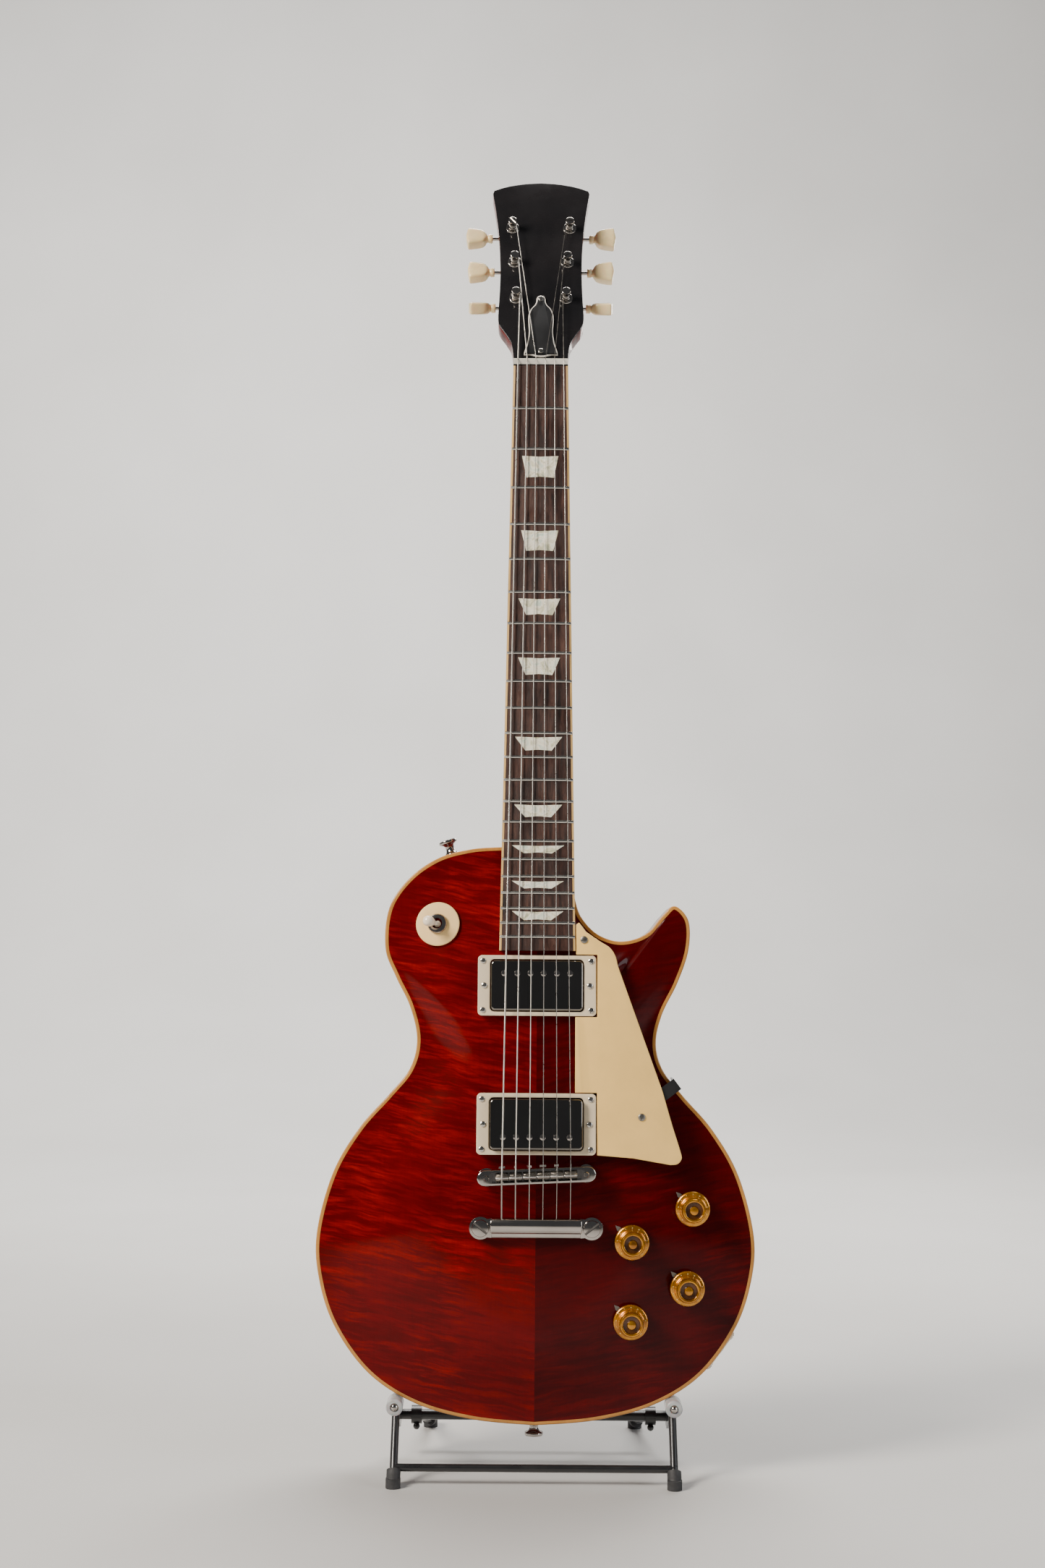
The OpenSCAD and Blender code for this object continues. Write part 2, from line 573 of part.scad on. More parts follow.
module tuner_post(i) color(nickel) at_post(i) difference() {
    union() {
        rotate_extrude() polygon([[0, worm_z - 3.2], [post_r, worm_z - 3.2], [post_r, 3.4],
            [2.45, 4.3], [2.45, 6.1], [3.5, 7], [3.6, 9.2], [3.1, 9.95], [0, 9.95]]);
        translate([0, 0, worm_z - 2]) cylinder(h = 4, r = 3.3);
    }
    translate([-6, 0, string_post_h]) rotate([0, 90, 0]) cylinder(h = 12, r = 0.8);
}
button_rest = [49, 8, 8, 8, 8, 131];
button_face = [[0, 3.7], [3.4, 3.7], [4.2, 3.2], [5.2, 3.6], [9.4, 7.6], [12.5, 8.3], [19.4, 9.25],
    [22, 0]];
module button_plate() union() {
    rotate([0, 90, 0]) cylinder(h = 4.2, r = 3.8);
    intersection() {
        translate([0, 0, -4.8]) linear_extrude(9.6)
            polygon(concat(button_face, [for (k = [6:-1:0]) [button_face[k].x, -button_face[k].y]]));
        rotate([90, 0, 0]) translate([0, 0, -12]) linear_extrude(24)
            polygon([[3, -2.8], [3, 2.8], [8, 4], [19, 4.7], [22, 3], [22, -3], [19, -4.7], [8, -4]]);
    }
}
module tuner_button(i) color(cream) at_post(i) translate([0, worm_off, worm_z])
    rotate([0, 0, tuner_side(i) > 0 ? 0 : 180]) rotate([button_rest[i], 0, 0]) {
        translate([button_in, 0, 0]) button_plate();
        translate([-6, 0, 0]) rotate([0, 90, 0]) cylinder(h = button_in + 6.2, r = 1.58);
    }

// ==== Strings ====
function to_guitar_z(y, z) = let (c = cos(neck_angle), s = sin(neck_angle))
    [nut_y + y * c + z * s, nut_z - y * s + z * c];
function head_to_neck(x, y, z) = let (c = cos(head_angle), s = sin(head_angle))
    [x, y * c + z * s, -y * s + z * c];
module strings() color(nickel) {
    for (i = [0:5]) {
        r = string_r[i];
        at_nut = [nut_x(i), nut_bend, string_nut_h];
        s = tuner_side(i);
        row = tuner_row(i);
        off = 2.7 + r + 0.45;
        post = head_to_neck(s * (post_halves[row] - off), post_rows[row] - 1, string_post_h);
        saddle_yz = [bridge_y + (bridge_string_x(i)) * tan(bridge_turn), saddle_z + r];
        nut_yz = to_guitar_z(at_nut.y, at_nut.z);
        nut_g = [at_nut.x, nut_yz[0], nut_yz[1]];
        saddle = [bridge_string_x(i), saddle_yz[0], saddle_yz[1]];
        neck_frame() bar_between(at_nut, post, r);
        guitar() bar_between(toward(saddle, nut_g, string_gap),
            toward(nut_g, saddle, string_gap), r);
        guitar() bar_between([saddle.x, tail_y + 7.4, 21], saddle, r);
    }
}

// ==== Pickups ====
module pickup_rings() color(cream) for (i = [0, 1]) at_pickup(i) difference() {
    intersection() {
        linear_extrude(14) rounded_rect(88.9, 45.2, 3.2);
        translate([0, 0, pickup_rise[i]]) rotate([-pickup_tilt, 0, 0]) translate([-60, -60, -30])
            cube([120, 120, 30]);
    }
    translate([0, 0, -1]) linear_extrude(20) rounded_rect(70.4, 39.2, 3.4);
    for (x = [-1, 1], y = [-1, 1]) translate([x * ring_screws.x, y * ring_screws.y, -1])
        cylinder(h = 20, r = 1.25);
    for (x = [-1, 1]) translate([x * ring_adjuster, 0, -1]) cylinder(h = 20, r = 1.45);
}
module pickup_local(i) guitar() translate([0, pickup_y[i], pickup_top[i]])
    rotate([-pickup_tilt, 0, 0]) children();
cover_h = 15;
pole_gap = 9.9;
module pickup_covers() color(nickel) for (i = [0, 1]) pickup_local(i) difference() {
    translate([0, 0, -cover_h]) linear_extrude(cover_h) rounded_rect(69, 37.4, 3);
    translate([0, 0, -cover_h - 1]) linear_extrude(cover_h + 0.2) rounded_rect(67.6, 36, 2.4);
    for (k = [0:5]) translate([(k - 2.5) * pole_gap, pole_side[i], -3]) cylinder(h = 5, r = 2.5);
}
module pickup_cores() color(black) for (i = [0, 1]) pickup_local(i) {
    for (s = [-1, 1]) difference() {
        translate([0, s * 9.2, -12]) linear_extrude(10.9) rounded_rect(66, 16.6, 7);
        if (s * pole_side[i] > 0) for (k = [0:5])
            translate([(k - 2.5) * pole_gap, pole_side[i], -20]) cylinder(h = 25, r = 2.35);
    }
    translate([-31, -6, -15.4]) cube([62, 12, 3.2]);
}
module pole_screws() color(nickel) for (i = [0, 1], k = [0:5]) pickup_local(i)
    translate([(k - 2.5) * pole_gap, pole_side[i], 0]) difference() {
        union() {
            translate([0, 0, -1.4]) cylinder(h = 1.9, r = 2.3);
            translate([0, 0, -13]) cylinder(h = 12, r = 1.5);
        }
        rotate([0, 0, 25 + 37 * k]) translate([-3, -0.35, 0]) cube([6, 0.7, 1]);
    }

// ==== Bridge and tailpiece ====
saddle_pitch = 10.15;
bar_low = 20;
bar_high = 29.2;
module bridge_bar() color(nickel) at_bridge() difference() {
    translate([0, 0, bar_low]) linear_extrude(bar_high - bar_low) {
        square([77, 11.4], center = true);
        for (s = [-1, 1]) translate([s * 38.5, 0]) circle(5.7);
    }
    translate([-33, -3.9, bar_low + 2.6]) cube([66, 7.8, 10]);
    for (s = [-1, 1]) translate([s * post_gap / 2, 0, 0]) cylinder(h = 50, r = 2.1);
    for (i = [0:5]) translate([(i - 2.5) * saddle_pitch, 0, 26]) rotate([-90, 0, 0])
        cylinder(h = 20, r = 1.05, center = true);
}
module saddle_body(i) translate([(i - 2.5) * saddle_pitch, 0, bar_low + 2.8]) difference() {
    rotate([90, 0, 90]) translate([0, 0, -4.9]) linear_extrude(9.8)
        polygon([[-3.6, 0], [3.6, 0], [3.6, 3.8], [0.6, saddle_z - bar_low - 3.05],
            [-0.6, saddle_z - bar_low - 3.05], [-3.6, 3.8]]);
    translate([0, 0, 26 - bar_low - 2.8]) rotate([-90, 0, 0])
        cylinder(h = 20, r = 1.05, center = true);
}
module saddles() color(nickel) at_bridge() for (i = [0:5]) saddle_body(i);
module bridge_and_tail_studs() color(nickel) {
    for (s = [-1, 1]) {
        at_bridge() translate([s * post_gap / 2, 0, 0]) {
            translate([0, 0, -12]) cylinder(h = 43.2, r = 2);
            translate([0, 0, 16.8]) cylinder(h = 2.6, r = 6.9);
        }
        guitar() translate([bridge_x + s * stud_gap / 2, tail_y, 0]) difference() {
            union() {
                translate([0, 0, -18]) cylinder(h = 42, r = 3.6);
                translate([0, 0, -18]) cylinder(h = 31.2, r = 5.5);
                translate([0, 0, 14.6]) cylinder(h = 2.2, r = 7);
                translate([0, 0, 22]) cylinder(h = 2.8, r = 6.4);
            }
            rotate([0, 0, s * 38]) translate([-8, -0.8, 23.5]) cube([16, 1.6, 3]);
        }
    }
}
module tail_profile() {
    difference() {
        union() {
            translate([0, 19.5]) circle(r = 4.6);
            translate([-6.6, 15.2]) square([13.2, 4.4]);
            translate([-2.2, 19.6]) circle(r = 4.4);
            translate([2.4, 18.9]) circle(r = 4.2);
        }
        translate([-20, 5]) square([40, 11.9]);
    }
}
module tailpiece() color(nickel) guitar() translate([bridge_x, tail_y, 0]) difference() {
    union() {
        rotate([90, 0, 90]) translate([0, 0, -38]) linear_extrude(76) tail_profile();
        for (s = [-1, 1]) translate([s * stud_gap / 2, 0, 16.9]) {
            cylinder(h = 5, r = 8.3);
            translate([-s * 6.5, 0, 2.5]) cube([13, 14, 5], center = true);
        }
    }
    for (s = [-1, 1]) translate([s * stud_gap / 2, 0, 0]) {
        cylinder(h = 60, r = 3.7);
        translate([0, 0, 21.95]) cylinder(h = 10, r = 6.6);
    }
    for (i = [0:5]) translate([bridge_string_x(i) - bridge_x, 0, 20.2]) rotate([-90, 0, 0])
        cylinder(h = 20, r = 1.3, center = true);
}

// ==== Pickguard ====
guard_z = 16.4;
guard_tilt = 1.5;
guard_t = 1.7;
module guard_frame() guitar() translate([0, 300, guard_z]) rotate([-guard_tilt, 0, 0])
    translate([0, -300, 0]) children();
guard_outline = concat([[29.2, 372], [31.4, 373.4]],
    spline([[36.5, 366.6], [46.6, 359.7], [54.6, 354.6], [58.6, 348.6], [60.6, 341]], 3),
    spline([[94.1, 248], [101, 224], [107.6, 203], [108, 198], [105, 194.6], [99.8, 193.9]], 3),
    [[72, 198.6], [45.2, 200.6], [45.2, 246.6], [28.8, 246.6], [28.8, 302.7], [45.2, 302.7],
        [45.2, 349.3], [29.2, 349.3]]);
guard_screws = [[35.1, 360.5], [78.5, 228.8]];
module pickguard() color(cream) guard_frame() difference() {
    linear_extrude(guard_t) polygon([for (i = [len(guard_outline) - 1:-1:0]) guard_outline[i]]);
    for (p = guard_screws) translate([p.x, p.y, -1]) cylinder(h = 5, r = 1.2);
}
bracket_spot = [103.4, 252.3];
bracket_turn = 37;
bracket_w = 9.5;
module pickguard_bracket() color(black) guitar() translate([bracket_spot.x, bracket_spot.y, 0])
    rotate([0, 0, bracket_turn]) {
        translate([-26, -bracket_w / 2, 16.3]) cube([28.4, bracket_w, 1.1]);
        translate([1.2, -bracket_w / 2, -13]) cube([1.2, bracket_w, 30]);
    }

// ==== Switch, knobs and jack ====
module switch_washer() color(cream) at_switch() difference() {
    union() {
        cylinder(h = 1.2, r = washer_d / 2);
        translate([0, 0, 1.22]) cylinder(h = 3, r = 7.6);
        translate([0, 0, 4.22]) cylinder(h = 1.2, r = 6.2);
    }
    translate([0, 0, -1]) cylinder(h = 10, r = 5.1);
}
module switch_body() color(nickel) at_switch() {
    difference() {
        translate([0, 0, -16]) cylinder(h = 20.8, r = 4.95);
        translate([0, 0, -8]) cylinder(h = 20, r = 4.1);
    }
    translate([-14, -6, -35]) cube([28, 12, 17]);
    translate([-11, -5, -18.02]) cube([22, 10, 2]);
}
lever_rest = -17;
switch_pivot_l = 6.8;
module switch_lever() color(cream) at_switch() translate([0, 0, 1]) rotate([0, lever_rest, 0]) {
    sphere(2.6);
    rotate([90, 0, 0]) cylinder(h = switch_pivot_l, r = 1.1, center = true);
    cylinder(h = 9, r = 1.5);
    rotate_extrude() polygon([[0, 7.2], [2, 7.2], [3.2, 10], [4.1, 14.5], [3.7, 17.2],
        [2.2, 18.9], [0, 19.4]]);
}
module pots() color(nickel) for (i = [0:3]) at_knob(i) difference() {
    union() {
        translate([0, 0, -cap_edge - 10.1]) cylinder(h = 10, r = 8.4);
        translate([0, 0, -cap_edge - 1]) cylinder(h = knob_seats[i] + cap_edge - 0.2, r = 4.75);
    }
    translate([0, 0, -cap_edge - 8]) cylinder(h = 40, r = 3.06);
}
pointer_turn = 135;
module knob_pointers() color(nickel) for (i = [0:3]) at_knob(i)
    translate([0, 0, knob_seats[i] - 1.15]) rotate([0, 0, pointer_turn]) difference() {
        union() {
            cylinder(h = 0.7, r = 6.5);
            linear_extrude(0.7) polygon([[0, -3.4], [14.2, -1.6], [17.4, 0], [14.2, 1.6], [0, 3.4]]);
        }
        translate([0, 0, -1]) cylinder(h = 3, r = 4.8);
    }
knob_h = 16.6;
function knob_profile(r) = concat([[3.05, 0.6], [r, 0.6], [r, 1.6]],
    [for (a = [15:15:75]) [r - 2.4 + 2.4 * cos(a), 1.6 + 1.6 * sin(a)]],
    [[r * 0.745, 6], [r * 0.715, 13], [r * 0.69, 15.6], [r * 0.65, knob_h], [6.6, knob_h],
        [6.2, knob_h - 1.2], [2.6, knob_h - 1.2], [2.3, knob_h - 0.4], [0, knob_h - 0.4],
        [0, knob_h - 3], [3.05, knob_h - 3]]);
module knob(i) color(gold) at_knob(i) {
    translate([0, 0, knob_seats[i]]) rotate_extrude() polygon(knob_profile(knob_d / 2));
    translate([0, 0, -cap_edge - 7.6]) cylinder(h = knob_seats[i] + cap_edge + knob_h + 4.4, r = 3);
}
module output_jack() color(nickel) jack_frame() difference() {
    union() {
        translate([0, 0, -14]) cylinder(h = 16.4, r = 4.6);
        translate([0, 0, 1.62]) cylinder(h = 2, r = 6.4, $fn = 6);
        translate([0, 0, -19]) cylinder(h = 5, r = 8);
    }
    translate([0, 0, -15]) cylinder(h = 30, r = 3.25);
}
module jack_plate() color(cream) jack_frame() difference() {
    linear_extrude(1.6) rounded_rect(34, 34, 3);
    translate([0, 0, -1]) cylinder(h = 5, r = 4.75);
    for (x = [-1, 1], y = [-1, 1]) translate([x * jack_screw, y * jack_screw, -1]) cylinder(h = 5, r = 1.2);
}
// Where the strap buttons stand on the rim: place across, place along, turn
strap_spots = [[0, -0.1, 180], [-65.9, 425.9, 19]];
strap_z = -26;
module strap_buttons() color(nickel) for (p = strap_spots) guitar() translate([p.x, p.y, strap_z])
    rotate([0, 0, p.z]) rotate([-90, 0, 0]) rotate_extrude()
        polygon([[0, 0.3], [5.6, 0.3], [5.4, 1.6], [3.8, 3], [3.3, 6], [4, 8.2], [7, 9.5],
            [7, 11.4], [6.2, 12.2], [0, 12.4]]);

// ==== Small screws ====
module small_screws() color(nickel) {
    for (i = [0, 1]) guitar() translate([0, pickup_y[i], carve_h + 0.05 + pickup_rise[i]])
        rotate([-pickup_tilt, 0, 0]) {
            for (x = [-1, 1], y = [-1, 1]) translate([x * ring_screws.x, y * ring_screws.y, 0.02])
                screw(2.1, 1.1, 1, 3);
            for (x = [-1, 1]) translate([x * ring_adjuster, 0, 0.02]) screw(2.2, 1.2, 1.2, 3);
        }
    for (p = guard_screws) guard_frame() translate([p.x, p.y, guard_t + 0.02])
        screw(2.4, 1.2, 1.1, 3);
    for (y = rod_cover_screws) head_frame() translate([0, y, 1.84]) screw(2.3, 1, 1, 1.7);
    for (p = cover_screws) guitar() translate([p.x, p.y, back_z - 0.02]) mirror([0, 0, 1])
        screw(2.7, 1, 1.2, 1.4);
    for (x = [-1, 1], y = [-1, 1]) jack_frame() translate([x * jack_screw, y * jack_screw, 1.62])
        screw(2.4, 1.1, 1.1, 1.5);
    for (i = [0:5]) at_post(i) for (y = [-10.5, 15.5]) translate([0, y, -head_t - 1.12])
        mirror([0, 0, 1]) screw(1.9, 0.8, 1, 1);
    for (i = [0:5]) at_bridge() translate([(i - 2.5) * saddle_pitch, -5.75, 26]) rotate([-90, 0, 0]) {
        cylinder(h = 13, r = 1);
        translate([0, 0, 11.5]) cylinder(h = 1.4, r = 2);
    }
}

front_frame();
front_crossbar();
hinge_bar();
arm_sleeves();
front_feet();
rear_frame();
back_rest_pad();
rear_feet();
body_back();
cap_bass_half();
cap_treble_half();
body_binding();
neck();
headstock_veneer();
fingerboard();
fingerboard_binding();
frets();
inlays();
nut();
truss_rod();
truss_rod_cover();
small_screws();
tuner_housings();
tuner_bushings();
strings();
pickup_rings();
pickup_covers();
pickup_cores();
pole_screws();
bridge_bar();
saddles();
bridge_and_tail_studs();
tailpiece();
pickguard();
pickguard_bracket();
switch_washer();
switch_body();
pots();
knob_pointers();
output_jack();
jack_plate();
back_covers();
strap_buttons();
switch_lever();
knob(0);  // knob_neck_volume
knob(2);  // knob_neck_tone
knob(1);  // knob_bridge_volume
knob(3);  // knob_bridge_tone
for (i = [0:5]) {
    tuner_button(i);
    tuner_post(i);
}
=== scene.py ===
import math

import bmesh
import bpy
from mathutils import Matrix, Vector


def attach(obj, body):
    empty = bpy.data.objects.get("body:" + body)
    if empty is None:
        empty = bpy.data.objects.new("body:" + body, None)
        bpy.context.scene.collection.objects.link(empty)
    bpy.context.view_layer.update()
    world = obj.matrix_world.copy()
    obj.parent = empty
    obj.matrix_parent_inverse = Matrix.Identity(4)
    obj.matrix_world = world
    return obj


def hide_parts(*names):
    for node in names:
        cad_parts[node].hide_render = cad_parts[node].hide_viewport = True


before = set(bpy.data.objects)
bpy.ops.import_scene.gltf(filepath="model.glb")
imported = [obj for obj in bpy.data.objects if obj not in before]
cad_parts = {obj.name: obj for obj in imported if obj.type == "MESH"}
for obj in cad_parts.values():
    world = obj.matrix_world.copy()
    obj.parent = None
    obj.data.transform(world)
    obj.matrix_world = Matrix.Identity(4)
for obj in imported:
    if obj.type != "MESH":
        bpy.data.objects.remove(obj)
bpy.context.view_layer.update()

# ---------------------------------------------------------------- frames, in millimetres
LEAN, NECK, HEAD = 3, 4.4, 17
RIM = 40
CY = -65.7
BODY_L, NUT_Z, BOARD_T, BOARD_R = 431, -16.6, 6.3, 305
CARVE, CAP_EDGE, BACK_Z, BIND = 12.4, 7, -50, 2.7


def move(x, y, z):
    return Matrix.Translation((x, y, z))


def turn(a, axis):
    return Matrix.Rotation(math.radians(a), 4, axis)


MM = Matrix.Diagonal((0.001, 0.001, 0.001, 1))
STAND = MM @ move(0, CY, 0)
GUITAR = MM @ move(0, CY, RIM) @ turn(90 - LEAN, "X")
NECKF = GUITAR @ move(0, BODY_L + 380, NUT_Z) @ turn(-NECK, "X")
HEADF = NECKF @ turn(-HEAD, "X")

# ---------------------------------------------------------------- camera and light
scene = bpy.context.scene


def make_camera():
    data = bpy.data.cameras.new("view")
    data.lens = 50
    data.sensor_width = 36
    data.sensor_fit = "AUTO"
    data.clip_start = 0.05
    data.clip_end = 50
    cam = bpy.data.objects.new("view", data)
    scene.collection.objects.link(cam)
    cam.matrix_world = (
        Matrix.Translation((-0.012, (CY - 1637) / 1000, 0.4547))
        @ turn(90 + 2.2, "X")
        @ turn(0.41, "Z")
    )
    scene.camera = cam


def area(name, place, aim, size, power, colour):
    data = bpy.data.lights.new(name, "AREA")
    data.shape = "RECTANGLE"
    data.size, data.size_y = size
    data.energy = power
    data.color = colour
    lamp = bpy.data.objects.new(name, data)
    scene.collection.objects.link(lamp)
    d = Vector(aim) - Vector(place)
    lamp.rotation_euler = d.to_track_quat("-Z", "Y").to_euler()
    lamp.location = place
    return lamp


make_camera()
area("key", (-1.7, -1.25, 1.75), (0, 0, 0.45), (0.7, 1.1), 106, (1, 0.93, 0.84))
area("fill", (2.1, -0.9, 1.0), (0, 0, 0.4), (0.9, 1.4), 22, (0.93, 0.96, 1))
area("top", (0.1, 0.9, 2.6), (0, 0.3, 0.2), (1.6, 1.0), 60, (1, 0.98, 0.95))
area("back", (0.9, 1.3, 1.3), (0, 0, 0.5), (0.8, 0.8), 14, (1, 0.97, 0.93))
area("wall", (-0.6, 0.9, 1.9), (0, 3.2, 1.1), (2.4, 0.8), 120, (1, 0.99, 0.97))

# ---------------------------------------------------------------- node helpers


def nd(t, kind, props=None, **ins):
    n = t.nodes.new("ShaderNode" + kind)
    for k, v in (props or {}).items():
        setattr(n, k, v)
    for k, v in ins.items():
        s = n.inputs[int(k[1:])] if k[0] == "i" and k[1:].isdigit() else n.inputs[k]
        if isinstance(v, bpy.types.NodeSocket):
            t.links.new(v, s)
        else:
            s.default_value = v
    return n


def rgba(c):
    return (c[0], c[1], c[2], 1)


class Mat:
    """A material with the helpers that its node tree needs."""

    def __init__(self, name, colour, rough, metal=0.0, **sockets):
        self.m = bpy.data.materials.new(name)
        self.m.use_nodes = True
        self.t = self.m.node_tree
        self.b = self.t.nodes["Principled BSDF"]
        self.b.inputs["Base Color"].default_value = rgba(colour)
        self.b.inputs["Roughness"].default_value = rough
        self.b.inputs["Metallic"].default_value = metal
        for k, v in sockets.items():
            self.b.inputs[k.replace("_", " ")].default_value = v
        self.p = nd(self.t, "TexCoord").outputs["Object"]
        self.height = None

    def to(self, socket, value):
        self.t.links.new(value, self.b.inputs[socket])

    def stretch(self, scale, rotation=(0, 0, 0), source=None):
        r = tuple(math.radians(a) for a in rotation)
        return nd(
            self.t, "Mapping", Vector=source or self.p, Scale=scale, Rotation=r
        ).outputs[0]

    def noise(self, scale, detail=3, rough=0.5, at=None, distort=0.0):
        return nd(
            self.t,
            "TexNoise",
            Vector=at or self.p,
            Scale=scale,
            Detail=detail,
            Roughness=rough,
            Distortion=distort,
        ).outputs["Fac"]

    def math(self, op, a, b=0.0, clamp=False):
        return nd(
            self.t, "Math", {"operation": op, "use_clamp": clamp}, i0=a, i1=b
        ).outputs[0]

    def fit(self, v, a, b, c, d):
        return nd(self.t, "MapRange", i0=v, i1=a, i2=b, i3=c, i4=d).outputs[0]

    def ramp(self, fac, *stops):
        n = nd(self.t, "ValToRGB", Fac=fac)
        e = n.color_ramp.elements
        while len(e) < len(stops):
            e.new(0.5)
        for el, (pos, c) in zip(e, stops):
            el.position = pos
            el.color = rgba(c)
        return n.outputs["Color"]

    def mix(self, fac, a, b, mode="MIX"):
        n = nd(self.t, "Mix", {"data_type": "RGBA", "blend_type": mode})
        for i, v in ((0, fac), (6, a), (7, b)):
            if isinstance(v, bpy.types.NodeSocket):
                self.t.links.new(v, n.inputs[i])
            else:
                n.inputs[i].default_value = v if i == 0 else rgba(v)
        return n.outputs[2]

    def bump(self, height, strength, distance):
        args = dict(Strength=strength, Distance=distance, Height=height)
        if self.height is not None:
            args["Normal"] = self.height
        self.height = nd(self.t, "Bump", **args).outputs["Normal"]
        self.to("Normal", self.height)

    def worn(self, low, high, scale=60):
        """Roughness that wanders, as on a surface that has been handled and wiped."""
        n = self.noise(scale, 4, 0.6)
        self.to("Roughness", self.fit(n, 0.3, 0.7, low, high))


# ---------------------------------------------------------------- materials


def flame_maple(name, tilt, low, mid, high, depth):
    m = Mat(
        name, mid, 0.34, Specular_IOR_Level=0.05, Coat_Weight=0.3, Coat_Roughness=0.05, Coat_IOR=1.42
    )
    bend = nd(m.t, "Mix", {"data_type": "VECTOR"}, i0=0.006)
    m.t.links.new(m.p, bend.inputs[4])
    m.t.links.new(nd(m.t, "TexNoise", Vector=m.p, Scale=38, Detail=3).outputs["Color"], bend.inputs[5])
    lean = m.stretch((1, 1, 1), (0, tilt, 0), bend.outputs[1])
    more = m.stretch((1, 1, 1), (0, tilt * 1.5, 0), bend.outputs[1])
    bands = m.noise(1.0, 3, 0.6, m.stretch((26, 26, 230), (0, 0, 0), lean), 0.5)
    fine = m.noise(1.0, 3, 0.6, m.stretch((55, 55, 480), (0, 0, 0), more))
    both = m.math("ADD", m.math("MULTIPLY", bands, 0.68), m.math("MULTIPLY", fine, 0.32))
    where = m.fit(m.noise(11, 3, 0.55), 0.38, 0.58, 0.2, 1.0)
    flame = m.fit(both, 0.47, 0.66, 0.0, 1.0)
    flame = m.math("MULTIPLY", flame, m.math("MULTIPLY", where, depth))
    shade = m.math("MULTIPLY", m.fit(both, 0.34, 0.47, 1.0, 0.0), 0.45)
    body = m.ramp(m.fit(m.noise(16, 3, 0.55), 0.3, 0.7, 0, 1), (0.0, low), (1.0, mid))
    colour = m.mix(flame, m.mix(shade, body, [c * 0.6 for c in low]), high)
    hairs = m.noise(1.0, 3, 0.6, m.stretch((700, 700, 14)))
    m.to("Base Color", m.mix(m.fit(hairs, 0.45, 0.8, 0, 0.22), colour, [c * 0.6 for c in low]))
    m.worn(0.28, 0.42, 40)
    m.bump(m.noise(300, 2), 0.02, 0.0004)
    return m.m


def mahogany(name):
    m = Mat(
        name, (0.16, 0.012, 0.008), 0.34, Specular_IOR_Level=0.1, Coat_Weight=0.4, Coat_Roughness=0.07,
        Coat_IOR=1.42
    )
    streak = m.noise(1.0, 4, 0.6, m.stretch((95, 95, 5)), 0.3)
    colour = m.ramp(
        streak, (0.32, (0.035, 0.002, 0.002)), (0.5, (0.10, 0.005, 0.004)), (0.68, (0.17, 0.015, 0.008))
    )
    pores = m.noise(1.0, 2, 0.5, m.stretch((1300, 1300, 45)))
    pore = m.fit(pores, 0.62, 0.72, 0, 1)
    m.to("Base Color", m.mix(m.math("MULTIPLY", pore, 0.6), colour, (0.025, 0.004, 0.003)))
    m.worn(0.22, 0.4, 30)
    m.bump(pore, 0.08, -0.0002)
    return m.m


def binding(name, c=(0.50, 0.225, 0.05)):
    m = Mat(name, c, 0.34, Specular_IOR_Level=0.2, Coat_Weight=0.5, Coat_Roughness=0.1, Coat_IOR=1.42)
    dirt = m.noise(1.0, 4, 0.65, m.stretch((60, 60, 22)))
    m.to("Base Color",
         m.ramp(dirt, (0.3, [v * 0.72 for v in c]), (0.55, c), (0.8, [min(1, v * 1.12) for v in c])))
    m.worn(0.2, 0.4, 90)
    m.bump(m.noise(700, 2), 0.04, 0.0002)
    return m.m


def lacquer(name):
    m = Mat(
        name, (0.004, 0.004, 0.005), 0.3, Specular_IOR_Level=0.1, Coat_Weight=0.55, Coat_Roughness=0.06,
        Coat_IOR=1.45
    )
    m.to("Base Color", m.ramp(m.noise(20, 3), (0.3, (0.007, 0.007, 0.008)), (0.8, (0.018, 0.016, 0.017))))
    m.worn(0.16, 0.4, 45)
    m.bump(m.noise(160, 3), 0.03, 0.0004)
    return m.m


def rosewood(name):
    m = Mat(name, (0.06, 0.03, 0.022), 0.48)
    streak = m.noise(1.0, 5, 0.65, m.stretch((330, 330, 9)), 0.4)
    wide = m.noise(1.0, 3, 0.5, m.stretch((110, 110, 5)), 0.6)
    both = m.math("ADD", m.math("MULTIPLY", streak, 0.6), m.math("MULTIPLY", wide, 0.4))
    colour = m.ramp(
        both,
        (0.36, (0.010, 0.005, 0.004)),
        (0.47, (0.034, 0.015, 0.011)),
        (0.56, (0.064, 0.029, 0.021)),
        (0.68, (0.105, 0.052, 0.037)),
    )
    pore = m.fit(m.noise(1.0, 2, 0.5, m.stretch((2600, 2600, 110))), 0.6, 0.68, 0, 1)
    m.to("Base Color", m.mix(m.math("MULTIPLY", pore, 0.7), colour, (0.007, 0.004, 0.003)))
    m.worn(0.34, 0.6, 55)
    m.bump(pore, 0.25, -0.00025)
    return m.m


def metal(name, c, low, high, scale=45, bump=0.015):
    m = Mat(name, c, low, 1.0)
    tint = m.noise(scale * 0.6, 4, 0.6)
    m.to("Base Color",
         m.ramp(tint, (0.3, [v * 0.82 for v in c]), (0.6, c), (0.85, [min(1, v * 1.06) for v in c])))
    m.worn(low, high, scale)
    m.bump(m.noise(scale * 9, 3), bump, 0.0002)
    return m.m


def wound(name, c, pitch):
    m = Mat(name, c, 0.32, 1.0)
    turns = nd(
        m.t, "TexWave", {"wave_type": "BANDS", "bands_direction": "Z", "wave_profile": "SIN"},
        Vector=m.p, Scale=1 / pitch / 6.2832 * 2, Distortion=0.0,
    ).outputs["Fac"]
    # Painted shade: the grooves between the turns are drawn darker, besides the bump below.
    m.to("Base Color", m.mix(m.fit(turns, 0, 1, 0, 0.55), c, [v * 0.45 for v in c]))
    m.bump(turns, 0.5, 0.0001)
    m.worn(0.24, 0.42, 120)
    return m.m


